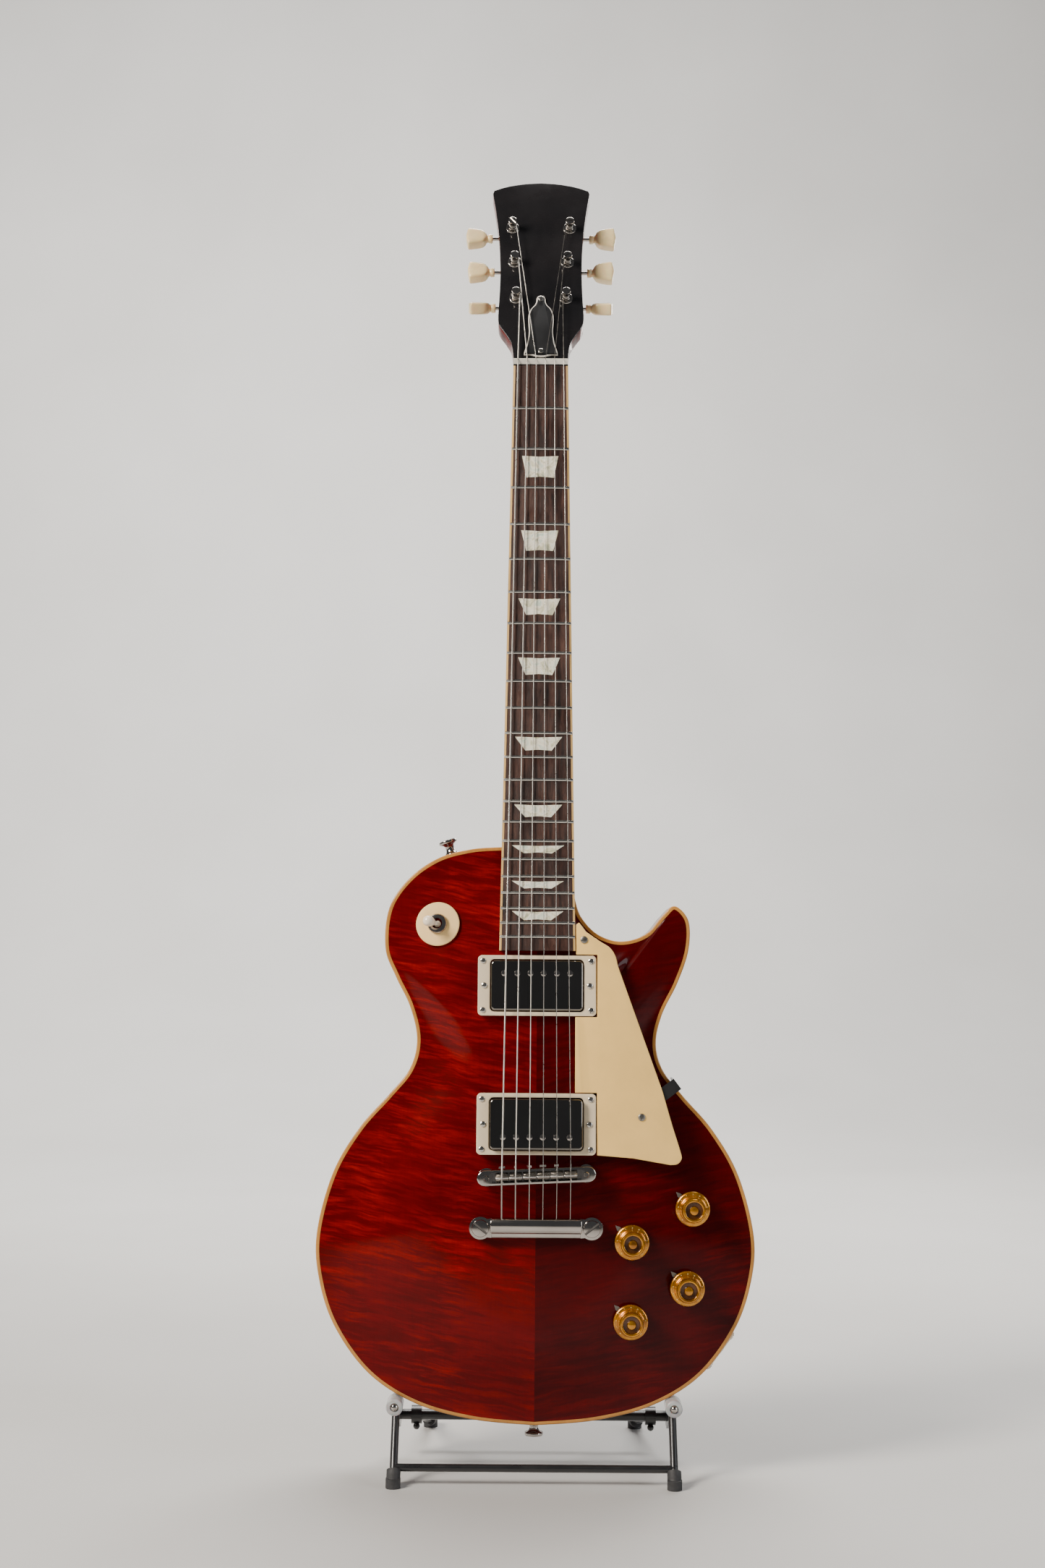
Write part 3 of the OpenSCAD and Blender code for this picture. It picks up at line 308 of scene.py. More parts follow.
def pearl(name):
    m = Mat(name, (0.62, 0.62, 0.56), 0.22, Coat_Weight=0.8, Coat_Roughness=0.06)
    swirl = m.noise(70, 3, 0.6, None, 2.6)
    cells = nd(m.t, "TexVoronoi", Vector=m.p, Scale=150.0).outputs["Distance"]
    base = m.ramp(
        swirl,
        (0.28, (0.22, 0.27, 0.19)),
        (0.42, (0.66, 0.62, 0.42)),
        (0.52, (0.95, 0.90, 0.76)),
        (0.64, (0.52, 0.64, 0.52)),
        (0.80, (1.0, 0.97, 0.88)),
    )
    m.to("Base Color", m.mix(m.fit(cells, 0.2, 0.8, 0, 0.35), base, (0.86, 0.80, 0.66)))
    m.worn(0.12, 0.32, 140)
    m.bump(swirl, 0.05, 0.0002)
    return m.m


def plastic(name, c, low=0.25, high=0.4, coat=0.5, mottle=0.1, **more):
    m = Mat(name, c, low, Coat_Weight=coat, Coat_Roughness=0.12, **more)
    cloud = m.noise(38, 4, 0.6)
    m.to("Base Color",
         m.ramp(cloud, (0.3, [v * (1 - 2 * mottle) for v in c]), (0.6, c),
                (0.85, [min(1, v * (1 + mottle)) for v in c])))
    m.worn(low, high, 70)
    m.bump(m.noise(900, 2), 0.03, 0.00015)
    return m.m


def amber(name, low, mid, high, metal):
    m = Mat(name, mid, 0.22, metal, Coat_Weight=0.8, Coat_Roughness=0.04, IOR=1.5)
    depth = m.noise(110, 3, 0.6)
    m.to("Base Color", m.ramp(depth, (0.3, low), (0.55, mid), (0.8, high)))
    m.worn(0.18, 0.34, 120)
    m.bump(m.noise(500, 2), 0.04, 0.0002)
    return m.m


def enamel(name):
    m = Mat(name, (0.012, 0.012, 0.013), 0.32, Coat_Weight=0.6, Coat_Roughness=0.12)
    chips = m.fit(m.noise(330, 5, 0.7), 0.66, 0.72, 0, 1)
    m.to("Base Color", m.mix(m.math("MULTIPLY", chips, 0.5), (0.011, 0.011, 0.012), (0.05, 0.048, 0.045)))
    m.worn(0.26, 0.44, 80)
    m.bump(m.noise(420, 3), 0.1, 0.0003)
    return m.m


def rubber(name, c=(0.018, 0.018, 0.019), rough=0.62, grain=1400):
    m = Mat(name, c, rough)
    dust = m.noise(70, 4, 0.7)
    m.to("Base Color", m.ramp(dust, (0.35, c), (0.8, [v * 2.6 + 0.01 for v in c])))
    m.worn(rough - 0.08, rough + 0.14, 90)
    m.bump(m.noise(grain, 3, 0.7), 0.3, 0.0004)
    return m.m


def vinyl(name):
    m = Mat(
        name, (0.62, 0.63, 0.64), 0.34, Transmission_Weight=0.35, IOR=1.45,
        Subsurface_Weight=0.4, Subsurface_Scale=0.002, Coat_Weight=0.4, Coat_Roughness=0.15,
    )
    haze = m.noise(150, 3)
    m.to("Base Color", m.ramp(haze, (0.3, (0.50, 0.51, 0.52)), (0.75, (0.72, 0.72, 0.72))))
    m.worn(0.26, 0.44, 110)
    m.bump(m.noise(600, 2), 0.06, 0.0003)
    return m.m


# Painted light and shade: the bass half is a lighter copy and the treble half a darker copy of one maple
# colour, set by the side the key light falls on; the treble half also has quieter flame.
MAPLE_LIT_BASS = flame_maple("maple_flamed_painted_light", -9, (0.085, 0.0001, 0.0006), (0.125, 0.0001, 0.0008),
                      (0.27, 0.0022, 0.002), 1.0)
MAPLE_SHADED_TREBLE = flame_maple("maple_quiet_painted_shade", 9, (0.04, 0.0001, 0.0007), (0.068, 0.0002, 0.0008),
                      (0.16, 0.001, 0.001), 0.5)
MAHOGANY = mahogany("mahogany_lacquered")
BINDING = binding("binding_aged")
NECK_BIND = binding("binding_neck", (0.72, 0.46, 0.18))
LACQUER = lacquer("black_lacquer_gloss")
ROSEWOOD = rosewood("rosewood_open")
FRET = metal("fret_nickel", (0.72, 0.69, 0.63), 0.16, 0.3, 90)
PEARL = pearl("pearloid_swirl")
NUT = plastic("nut_bone", (0.80, 0.77, 0.68), 0.3, 0.45, 0.4, 0.06)
NICKEL = metal("nickel_plate", (0.54, 0.50, 0.46), 0.07, 0.18, 40)
# Painted reflection: the pickup covers' nickel is given a far darker colour than nickel has, so they look
# dark like a mirror facing dark surroundings.
MIRROR_PAINTED_DARK = metal("nickel_mirror_painted_reflection", (0.24, 0.225, 0.205), 0.03, 0.1, 30, 0.006)
STEEL_BRIGHT = metal("screw_nickel", (0.66, 0.63, 0.58), 0.12, 0.3, 120, 0.03)
STEEL = metal("steel_turned", (0.50, 0.49, 0.47), 0.2, 0.38, 80, 0.05)
POTS = metal("pot_zinc", (0.45, 0.44, 0.42), 0.3, 0.5, 60, 0.05)
DULL = metal("string_turns", (0.34, 0.32, 0.29), 0.3, 0.45, 200)
STRING = metal("string_plain", (0.46, 0.43, 0.39), 0.24, 0.36, 200)
CREAM = plastic("cream_ring", (0.80, 0.66, 0.46), 0.32, 0.44, 0.3, 0.06)
GUARD = plastic("guard_cream_gloss", (0.98, 0.63, 0.20), 0.34, 0.44, 0.15, 0.04, Specular_IOR_Level=0.25)
DISC = plastic("cream_disc", (0.96, 0.66, 0.30), 0.34, 0.46, 0.15, 0.05, Specular_IOR_Level=0.25)
TIP = plastic("tip_cream", (0.95, 0.80, 0.62), 0.24, 0.34, 0.5, 0.04)
# Painted highlight: the saddles are the bridge's nickel, given a much brighter colour so their faces look
# lit.
SADDLE_PAINTED_HIGHLIGHT = metal("saddle_painted_highlight", (0.88, 0.85, 0.80), 0.2, 0.34, 90, 0.03)
BUTTON = plastic(
    "button_aged", (0.92, 0.73, 0.40), 0.24, 0.36, 0.6, 0.1,
    Subsurface_Weight=0.35, Subsurface_Scale=0.003,
)
WHITE = plastic("white_ply", (0.86, 0.80, 0.72), 0.3, 0.4, 0.3, 0.05)
BLACK = plastic("black_moulded", (0.012, 0.012, 0.013), 0.3, 0.45, 0.4, 0.2)
AMBER = amber("knob_amber", (0.36, 0.125, 0.004), (0.60, 0.245, 0.01), (0.82, 0.43, 0.04), 0.8)
WELL = amber("knob_well", (0.06, 0.018, 0.002), (0.11, 0.034, 0.003), (0.18, 0.06, 0.005), 0.4)
GILT = plastic("numeral_gilt", (0.85, 0.62, 0.24), 0.3, 0.4, 0.3, 0.06)
ENAMEL = enamel("stand_enamel")
RUBBER = rubber("rubber_boot")
FOAM = rubber("foam_cushion", (0.014, 0.014, 0.015), 0.85, 700)
VINYL = vinyl("vinyl_milky")

# ---------------------------------------------------------------- shape helpers


def catmull(a, b, c, d, t):
    return 0.5 * (
        2 * b + (c - a) * t + (2 * a - 5 * b + 4 * c - d) * t * t + (3 * b - a - 3 * c + d) * t ** 3
    )


def spline(p, n):
    p = [Vector(q) for q in p]
    m = len(p) - 1
    out = [
        catmull(p[max(i - 1, 0)], p[i], p[i + 1], p[min(i + 2, m)], k / n)
        for i in range(m)
        for k in range(n)
    ]
    return out + [p[m]]


def loop_spline(p, n):
    p = [Vector(q) for q in p]
    m = len(p)
    return [
        catmull(p[(i - 1) % m], p[i], p[(i + 1) % m], p[(i + 2) % m], k / n)
        for i in range(m)
        for k in range(n)
    ]


def inset(p, d):
    out = []
    for i in range(len(p)):
        t = (p[(i + 1) % len(p)] - p[i - 1]).normalized()
        out.append(p[i] + d * Vector((-t.y, t.x)))
    return out


def flip(p):
    return [Vector((-q.x, q.y)) for q in reversed(p)]


def smooth(x):
    c = min(max(x, 0), 1)
    return c * c * (3 - 2 * c)


def mix(a, b, t):
    return a + (b - a) * t


def rounded_rect(w, h, r, n=6):
    out = []
    for cx, cy, a in ((1, -1, -90), (1, 1, 0), (-1, 1, 90), (-1, -1, 180)):
        for k in range(n + 1):
            q = math.radians(a + 90 * k / n)
            out.append(Vector((cx * (w / 2 - r) + r * math.cos(q), cy * (h / 2 - r) + r * math.sin(q))))
    return out


def ring(r, n=48, cx=0, cy=0):
    return [Vector((cx + r * math.cos(2 * math.pi * k / n), cy + r * math.sin(2 * math.pi * k / n)))
            for k in range(n)]


def prism(outline, z0, z1):
    n = len(outline)
    v = [(p[0], p[1], z0) for p in outline] + [(p[0], p[1], z1) for p in outline]
    f = [[i, (i + 1) % n, n + (i + 1) % n, n + i] for i in range(n)]
    return v, f + [list(range(n))[::-1], [n + i for i in range(n)]]


def lathe(profile, n=48):
    """A solid turned about Z from a list of (radius, height)."""
    v, f, rows = [], [], []
    for r, z in profile:
        if r < 1e-6:
            rows.append([len(v)] * n)
            v.append((0, 0, z))
        else:
            rows.append(list(range(len(v), len(v) + n)))
            v += [(r * math.cos(2 * math.pi * k / n), r * math.sin(2 * math.pi * k / n), z)
                  for k in range(n)]
    for a, b in zip(rows, rows[1:]):
        for k in range(n):
            q = [a[k], a[(k + 1) % n], b[(k + 1) % n], b[k]]
            q = [x for i, x in enumerate(q) if x not in q[:i]]
            if len(q) > 2:
                f.append(q)
    return v, f


def loft(rows, closed=True, caps=True):
    n, v, f = len(rows[0]), [tuple(p) for r in rows for p in r], []
    for j in range(len(rows) - 1):
        for i in range(n if closed else n - 1):
            k = (i + 1) % n
            f.append([j * n + i, j * n + k, (j + 1) * n + k, (j + 1) * n + i])
    if caps:
        f += [list(range(n))[::-1], [(len(rows) - 1) * n + i for i in range(n)]]
    return v, f


def tube(path, r, n=10, caps=True):
    path = [Vector(p) for p in path]
    rows, side = [], None
    for i, p in enumerate(path):
        d = (path[min(i + 1, len(path) - 1)] - path[max(i - 1, 0)]).normalized()
        if side is None:
            side = d.orthogonal().normalized()
        side = (side - d * side.dot(d)).normalized()
        up = d.cross(side)
        rows.append([p + r * (math.cos(2 * math.pi * k / n) * side + math.sin(2 * math.pi * k / n) * up)
                     for k in range(n)])
    return loft(rows, True, caps)


def box(x0, x1, y0, y1, z0, z1):
    return prism([(x0, y0), (x1, y0), (x1, y1), (x0, y1)], z0, z1)


def joined(parts):
    """Several (vertices, faces[, matrix]) as one."""
    v, f = [], []
    for part in parts:
        m = part[2] if len(part) > 2 else None
        f += [[i + len(v) for i in q] for q in part[1]]
        v += [tuple(m @ Vector(p)) if m else tuple(p) for p in part[0]]
    return v, f


def raw(name, shape, matrix):
    me = bpy.data.meshes.new(name)
    me.from_pydata([tuple(p) for p in shape[0]], [], shape[1])
    me.transform(matrix)
    bm = bmesh.new()
    bm.from_mesh(me)
    bmesh.ops.remove_doubles(bm, verts=bm.verts, dist=1e-7)
    bmesh.ops.recalc_face_normals(bm, faces=bm.faces)
    bm.to_mesh(me)
    bm.free()
    o = bpy.data.objects.new(name, me)
    scene.collection.objects.link(o)
    return o


def bake(o):
    """Applies an object's modifiers."""
    bpy.context.view_layer.update()
    e = o.evaluated_get(bpy.context.evaluated_depsgraph_get())
    me = bpy.data.meshes.new_from_object(e)
    o.modifiers.clear()
    o.data = me


def piece(name, shape, matrix, body, material, nodes=(), bevel=0.0, seg=3, angle=35, cut=None,
          limit=40, sub=0):
    o = raw(name, shape, matrix)
    if cut:
        tool = raw(name + "_cut", cut, matrix)
        b = o.modifiers.new("cut", "BOOLEAN")
        b.operation = "DIFFERENCE"
        b.object = tool
        b.solver = "EXACT"
        if bevel < 0:
            bake(o)
            bevel = -bevel
    if bevel:
        b = o.modifiers.new("bevel", "BEVEL")
        b.width = bevel * 0.001
        b.segments = seg
        b.limit_method = "ANGLE"
        b.angle_limit = math.radians(limit)
        if cut:
            o.modifiers.move(len(o.modifiers) - 1, 0)
    if sub:
        s = o.modifiers.new("sub", "SUBSURF")
        s.levels = s.render_levels = sub
    if o.modifiers:
        bake(o)
    if cut:
        bpy.data.objects.remove(tool, do_unlink=True)
    o.data.shade_smooth()
    o.data.set_sharp_from_angle(angle=math.radians(angle))
    o.data.materials.clear()
    o.data.materials.append(material)
    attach(o, body)
    if nodes:
        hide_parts(*nodes)
    return o


def paint(material, *names):
    for name in names:
        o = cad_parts[name]
        for s in o.material_slots:
            s.material = material
        if not o.material_slots:
            o.data.materials.append(material)


# ---------------------------------------------------------------- body
FINE = 9
LOWER = [(0, 0), (45, 3.9), (88, 15.2), (124, 37.4), (150.5, 73), (162.6, 110), (163.6, 143),
         (152, 186), (132.6, 219), (111, 243.5), (95.5, 263)]
HORN = [(90.3, 283), (95, 305), (106.5, 328.5), (114.8, 353), (115, 375.5), (104.6, 387),
        (94.9, 379.3), (82.3, 365.3), (63.4, 359.9), (45.8, 365.2), (33.1, 378.6), (28.2, 393)]
SHOULDER = [(90.4, 285), (96, 309.6), (107, 332), (115.2, 353.6), (112.6, 384), (97.2, 407),
            (75, 422.4), (50, 429.3), (27.5, 431)]
treble_side = spline(LOWER + HORN, FINE) + [Vector((27.4, 431))]
bass_side = spline(LOWER + SHOULDER, FINE)
OUTLINE = treble_side + flip(bass_side[1:])
CAP_LINE = inset(OUTLINE, BIND)
T_COUNT = len(treble_side)


def board_under(v):
    a = math.radians(NECK)
    along = (v - BODY_L - 380 + BOARD_T * math.sin(a)) / math.cos(a)
    return NUT_Z - along * math.sin(a) - BOARD_T * math.cos(a)


def carved(edge, sign, rings=30):
    m = len(edge) - 1
    v, f = [], []
    for j, e in enumerate(edge):
        s = Vector((0 if j in (0, m) else 5, mix(115, 305, j / m)))
        length = (s - e).length
        span = min(max(0.6 * length, 45), 95)
        if sign > 0 and e.y > 350:
            span = mix(span, 26, smooth((95 - e.x) / 25))
        for i in range(rings + 1):
            t = (i / rings) ** 1.25
            p = e.lerp(s, t)
            h = CARVE * smooth(t * length / span)
            if p.y > 345:
                h = min(h, board_under(p.y) - 0.05 + max(0, abs(p.x) - 29) * 0.3)
            v.append((sign * p.x, p.y, h))
        v.append((sign * e.x, e.y, -CAP_EDGE + 0.2))
    k = rings + 2
    for j in range(m):
        for i in range(rings):
            a = j * k + i
            f.append([a, a + 1, a + k + 1, a + k])
        f.append([j * k, (j + 1) * k, (j + 1) * k + rings + 1, j * k + rings + 1])
    f.append([j * k + rings for j in range(m + 1)])
    return v, f


t_edge = [Vector((0, BIND))] + CAP_LINE[1:T_COUNT] + [Vector((0, BODY_L - BIND))]
b_edge = ([Vector((0, BIND))] + [Vector((-p.x, p.y)) for p in reversed(CAP_LINE[T_COUNT:])]
          + [Vector((0, BODY_L - BIND))])
# The treble half takes the darker copy as painted shade, the bass half the lighter copy as painted light.
piece("top_treble", carved(t_edge, 1), GUITAR, "guitar", MAPLE_SHADED_TREBLE, ["cap_treble_half"], angle=60)
piece("top_bass", carved(b_edge, -1), GUITAR, "guitar", MAPLE_LIT_BASS, ["cap_bass_half"], angle=60)


def rim_loft(profile, line, skip=None):
    rows = [[(q.x, q.y, w) for q in inset(line, d)] if d else [(q.x, q.y, w) for q in line]
            for d, w in profile]
    n = len(line)
    v = [p for r in rows for p in r]
    f = []
    for j in range(len(rows) - 1):
        for i in range(n):
            if skip and skip(line[i], line[(i + 1) % n]):
                continue
            f.append([j * n + i, j * n + (i + 1) % n, (j + 1) * n + (i + 1) % n, (j + 1) * n + i])
    return v, f, rows


def at_neck(a, b):
    return a.y > 424 and b.y > 424 and abs(a.x) < 27.6 and abs(b.x) < 27.6


edge_round = [(1.2 - 1.2 * math.sin(math.radians(a)), -1.2 + 1.2 * math.cos(math.radians(a)))
              for a in range(0, 91, 15)]
v, f, _ = rim_loft([(2.75, -0.4), (2.7, 0.03)] + edge_round + [(0, -CAP_EDGE)], OUTLINE, at_neck)
piece("edge_binding", (v, f), GUITAR, "guitar", BINDING, ["body_binding"], angle=50)

back_round = [(4 - 4 * math.cos(math.radians(a)), BACK_Z + 4 - 4 * math.sin(math.radians(a)))
              for a in range(0, 91, 15)]
v, f, rows = rim_loft([(0.03, -CAP_EDGE - 0.02)] + [(max(d, 0.03), w) for d, w in back_round], OUTLINE)
n = len(OUTLINE)
f += [list(range(n)), [(len(rows) - 1) * n + i for i in range(n)][::-1]]
CAVITY = loop_spline([(50, 70), (60, 57), (92, 63), (128, 92), (135, 120), (136, 166), (122, 178),
                      (98, 170), (62, 154), (50, 136)], 8)
SWITCH = Vector((-75.3, 371.8))
cover_cut = joined([
    prism(inset(CAVITY, -6), BACK_Z - 1, BACK_Z + 1.7),
    prism(ring(30, 96, *SWITCH), BACK_Z - 1, BACK_Z + 1.7),
])
piece("body_shell", (v, f), GUITAR, "guitar", MAHOGANY, ["body_back"], angle=40, cut=cover_cut)
covers = joined([
    prism(inset(CAVITY, -5.6), BACK_Z - 0.1, BACK_Z + 1.5),
    prism(ring(29.6, 96, *SWITCH), BACK_Z - 0.1, BACK_Z + 1.5),
])
piece("cavity_covers", covers, GUITAR, "guitar", BLACK, ["back_covers"], bevel=0.35)

# ---------------------------------------------------------------- neck and headstock


def board_half(d):
    return mix(43, 56.9, d / (625 * (1 - 2 ** (-22 / 12)))) / 2


NECK_SHAPE = [(-15, 6, 0.8, 0.96), (-7, 12.6, 0.85, 0.99), (2, 14.8, 0.85, 1), (60, 15.2, 0.85, 1),
              (180, 16.6, 0.82, 1), (300, 18, 0.78, 1), (335, 18.6, 0.75, 1), (350, 21, 0.7, 1),
              (360, 26, 0.6, 1), (368, 34, 0.5, 1), (374, 42, 0.42, 1), (379.5, 47, 0.36, 1)]
rows = []
for a, b in zip(NECK_SHAPE, NECK_SHAPE[1:]):
    for k in range(6):
        t = k / 6
        d, deep, full, share = (mix(p, q, t) for p, q in zip(a, b))
        rows.append((d, deep, full, share))
rows.append(NECK_SHAPE[-1])
slices = []
for d, deep, full, share in rows:
    half = board_half(d) * share - 0.02
    slices.append([
        (-half * math.cos(math.pi * i / 44), -d, -BOARD_T - deep * math.sin(math.pi * i / 44) ** full)
        for i in range(45)
    ])
neck_mesh = loft(slices)
HEAD_SIDE = [(21.5, 0), (21.7, 10), (23.2, 21), (27.6, 30), (32.6, 38.5), (34, 47), (33.1, 70),
             (32.7, 94), (33.8, 125), (36.5, 152), (39.6, 174)]
CROWN = [(38.6, 177.2), (28, 181.4), (14, 184.4), (0, 185.5)]
head_half = spline(HEAD_SIDE, 8) + spline(CROWN, 8)
HEAD_LINE = head_half + flip(head_half[:-1])
HEAD_T, VENEER = 14.5, 1.3
piece("neck_back", neck_mesh, NECKF, "guitar", MAHOGANY, ["neck"], angle=50)
piece("head_core", prism(HEAD_LINE, -HEAD_T, -VENEER), HEADF, "guitar", MAHOGANY, bevel=1.0,
      seg=4, limit=60)
piece("head_face", prism(HEAD_LINE, -VENEER, 0), HEADF, "guitar", LACQUER,
      ["headstock_veneer"], bevel=0.35, seg=3, limit=60)
rod_side = spline([(13.4, 9.1), (12.9, 12.5), (10.7, 21), (9.6, 31.5), (10.1, 42.5), (9.7, 49), (7.8, 54.5),
                   (5, 58.2), (3.8, 61.4), (3.5, 64.6), (2.4, 66.9), (0, 67.8)], 6)
rod_low = spline([(0, 7.2), (3, 7.5), (6.2, 8.6), (9.5, 9.3), (13.2, 8.9)], 4)
ROD_LINE = (rod_low[:-1] + rod_side + [p for p in flip(rod_side) if p.x < -0.01]
            + [p for p in flip(rod_low[:-1]) if p.x < -0.01])
piece("rod_cover_edge", prism(ROD_LINE, 0.02, 1.5), HEADF, "guitar", WHITE,
      ["truss_rod_cover"], bevel=0.3, seg=2, limit=60)
piece("rod_cover_face", prism(inset(ROD_LINE, 0.95), 1.4, 1.85), HEADF, "guitar", BLACK,
      bevel=0.15, seg=2, limit=60)

FRETS = [625 * (1 - 2 ** (-k / 12)) for k in range(1, 23)]
parts = []
for d in FRETS:
    half = board_half(d) - 0.35
    arc = []
    for i in range(17):
        x = mix(-half, half, i / 16)
        ends = 1 - 0.5 * smooth((abs(x) - half + 1.6) / 1.6)
        z = math.sqrt(BOARD_R ** 2 - x * x) - BOARD_R
        arc.append([
            (x, -d + 1.2 * math.cos(math.pi * k / 8),
             z - 0.05 + 1.15 * ends * math.sin(math.pi * k / 8) ** 0.8)
            for k in range(9)
        ])
    parts.append(loft(arc))
piece("fret_wire", joined(parts), NECKF, "guitar", FRET, ["frets"], angle=50)
paint(ROSEWOOD, "fingerboard")
paint(NECK_BIND, "fingerboard_binding")
paint(PEARL, "inlays")
paint(NUT, "nut")
paint(STEEL, "truss_rod")

# ---------------------------------------------------------------- tuners
ROWS, HALVES = (66.2, 102.7, 137.8), (20, 21.3, 23.2)


def post_place(i):
    row, s = (i, -1) if i < 3 else (5 - i, 1)
    return s, s * HALVES[row], ROWS[row]


WORM = 5
WORM_Z = -HEAD_T - 4.8
BUTTON_REST = (49, 8, 8, 8, 8, 131)
STRING_R = (0.58, 0.46, 0.33, 0.22, 0.17, 0.13)
WRAP_Z = 5.4


def superellipse(hy, hz, e, x, n=36):
    out = []
    for k in range(n):
        a = 2 * math.pi * k / n
        c, s = math.cos(a), math.sin(a)
        out.append((x, hy * math.copysign(abs(c) ** (2 / e), c), hz * math.copysign(abs(s) ** (2 / e), s)))
    return out


BUTTON_STATIONS = [(0, 0.5, 0.5, 2), (0.05, 3.2, 3.2, 2), (0.5, 3.7, 3.7, 2), (2.9, 3.7, 3.7, 2),
                   (3.5, 3.4, 3.4, 2), (4.1, 2.9, 2.9, 2), (4.7, 3.2, 3.1, 2.2), (5.4, 4.2, 3.8, 2.6),
                   (6.4, 5.6, 4.4, 3.4), (7.8, 6.7, 4.7, 4.4), (9.6, 7.3, 4.8, 5.5),
                   (12.5, 7.85, 4.85, 6.5), (16, 8.4, 4.9, 7), (18.8, 8.85, 4.95, 7), (19.7, 8.95, 4.9, 6),
                   (20.2, 8.8, 4.8, 5), (20.6, 8.2, 4.65, 4.4), (20.95, 6.9, 4.5, 4),
                   (21.3, 5.0, 4.35, 3.6), (21.6, 3.0, 4.15, 3.2), (21.85, 1.2, 3.9, 2.8),
                   (21.95, 0.3, 3.6, 2.4)]
bushes = []
for i in range(6):
    s, px, py = post_place(i)
    at = HEADF @ move(px, py, 0)
    hold = at @ move(0, WORM, WORM_Z) @ turn(0 if s > 0 else 180, "Z") @ turn(BUTTON_REST[i], "X")
    knob = loft([superellipse(hy, hz, e, x) for x, hy, hz, e in BUTTON_STATIONS])
    piece(f"tuner_key_{i + 1}", knob, hold @ move(16.3, 0, 0), f"tuner_button_{i + 1}",
          BUTTON, [f"tuner_button_{i + 1}"], angle=55)
    shaft = lathe([(0, -6), (1.5, -6), (1.58, -5.6), (1.58, 16.4), (0, 16.4)], 32)
    piece(f"tuner_shaft_{i + 1}", shaft, hold @ turn(90, "Y"), f"tuner_button_{i + 1}",
          NICKEL)
    post = lathe([(0, WORM_Z - 3.2), (2.9, WORM_Z - 3.2), (3.1, WORM_Z - 2.9), (3.1, 3.4), (2.9, 3.8),
                  (2.5, 4.3), (2.45, 5.2), (2.5, 6.1), (2.9, 6.6), (3.5, 7.0), (3.6, 7.3), (3.6, 9.2),
                  (3.45, 9.7), (3.0, 9.95), (0, 10)], 64)
    slot = joined([(*box(-5, 5, -0.4, 0.4, 9.2, 14), turn(35 + 47 * i, "Z")),
                   (*lathe([(0, -5), (0.8, -5), (0.8, 5), (0, 5)], 24), move(0, 0, 5.2) @ turn(90, "Y"))])
    piece(f"string_post_{i + 1}", post, at, f"tuner_post_{i + 1}", NICKEL,
          [f"tuner_post_{i + 1}"], cut=slot, angle=30)
    bush = lathe([(3.25, 0.3), (5.45, 0.02), (5.5, 0.35), (5.3, 0.75), (4.8, 1.0), (3.9, 1.15), (3.4, 1.15),
                  (3.25, 0.9), (3.25, 0.3)], 64)
    bushes.append((*bush, move(px, py, 0)))
    r = STRING_R[i]
    inner = -s
    turns = 2.3 if i < 3 else 4.2
    helix = []
    for k in range(int(turns * 20) + 1):
        a = math.pi * (0 if inner > 0 else 1) + inner * 2 * math.pi * k / 20
        helix.append(((2.52 + r) * math.cos(a), (2.52 + r) * math.sin(a),
                      WRAP_Z - (k / 20) * (2 * r + 0.06)))
    piece(f"string_wrap_{i + 1}", tube(helix, r, 10), at, f"tuner_post_{i + 1}", DULL,
          angle=60)
piece("bushing_rings", joined(bushes), HEADF, "guitar", NICKEL, ["tuner_bushings"], angle=30)

cases = []
for i in range(6):
    s, px, py = post_place(i)
    dx = -0.5 if s < 0 else 0
    zb = -HEAD_T
    case = []
    for k, (grow, z) in enumerate([(0, -0.05), (0, -6.6), (-0.5, -8.2), (-1.6, -9.0), (-3.4, -9.2)]):
        case.append([(px + dx + 0.25 + q.x, py + 2.5 + q.y, zb + z)
                     for q in rounded_rect(15.5 + 2 * grow, 21 + 2 * grow, max(2.4 + grow * 0.3, 1))])
    cases.append(loft(case))
    for y, turned in ((-12.4, -1), (13, 1)):
        cy = py + y + 2.2
        tab = [Vector((px + q.x, cy + turned * 0.2 + q.y)) for q in rounded_rect(8, 5, 2.2)]
        cases.append(prism(tab, zb - 1.1, zb - 0.05))
piece("gear_cases", joined(cases), HEADF, "guitar", NICKEL, ["tuner_housings"], angle=35)

# ---------------------------------------------------------------- strings


def neck_to_guitar(p):
    return turn(-NECK, "X") @ Vector(p) + Vector((0, BODY_L + 380, NUT_Z))


def head_to_guitar(p):
    return neck_to_guitar(turn(-HEAD, "X") @ Vector(p))


BRIDGE_X, BRIDGE_Y, BRIDGE_TURN, TAIL_Y, SADDLE_Z = 0.4, 185.6, 2.6, 147, 32.8
plain, thick = [], []
for i in range(6):
    r = STRING_R[i]
    s, px, py = post_place(i)
    x = BRIDGE_X - 0.2 + mix(-50.9, 50.9, i / 5) / 2
    saddle = Vector((x, BRIDGE_Y + x * math.tan(math.radians(BRIDGE_TURN)), SADDLE_Z + r))
    nut = neck_to_guitar((mix(-35.8, 35.8, i / 5) / 2, 4.2, 1.9))
    wrap = head_to_guitar((px - s * (2.52 + r), py, WRAP_Z))
    path = [Vector((x, TAIL_Y + 3, 20.3)), Vector((x, TAIL_Y + 6.8, 20.9))]
    path += [path[-1].lerp(saddle, 0.97), saddle, saddle.lerp(nut, 0.004), saddle.lerp(nut, 0.5),
             saddle.lerp(nut, 0.997), nut, nut.lerp(wrap, 0.04), nut.lerp(wrap, 0.98), wrap]
    (thick if i < 3 else plain).append(tube(path, max(r, 0.26), 12))
WOUND = wound("string_wound", (0.62, 0.58, 0.52), 0.0004)
piece("strings_wound", joined(thick), GUITAR, "guitar", WOUND, ["strings"], angle=60)
piece("strings_plain", joined(plain), GUITAR, "guitar", STRING, angle=60)

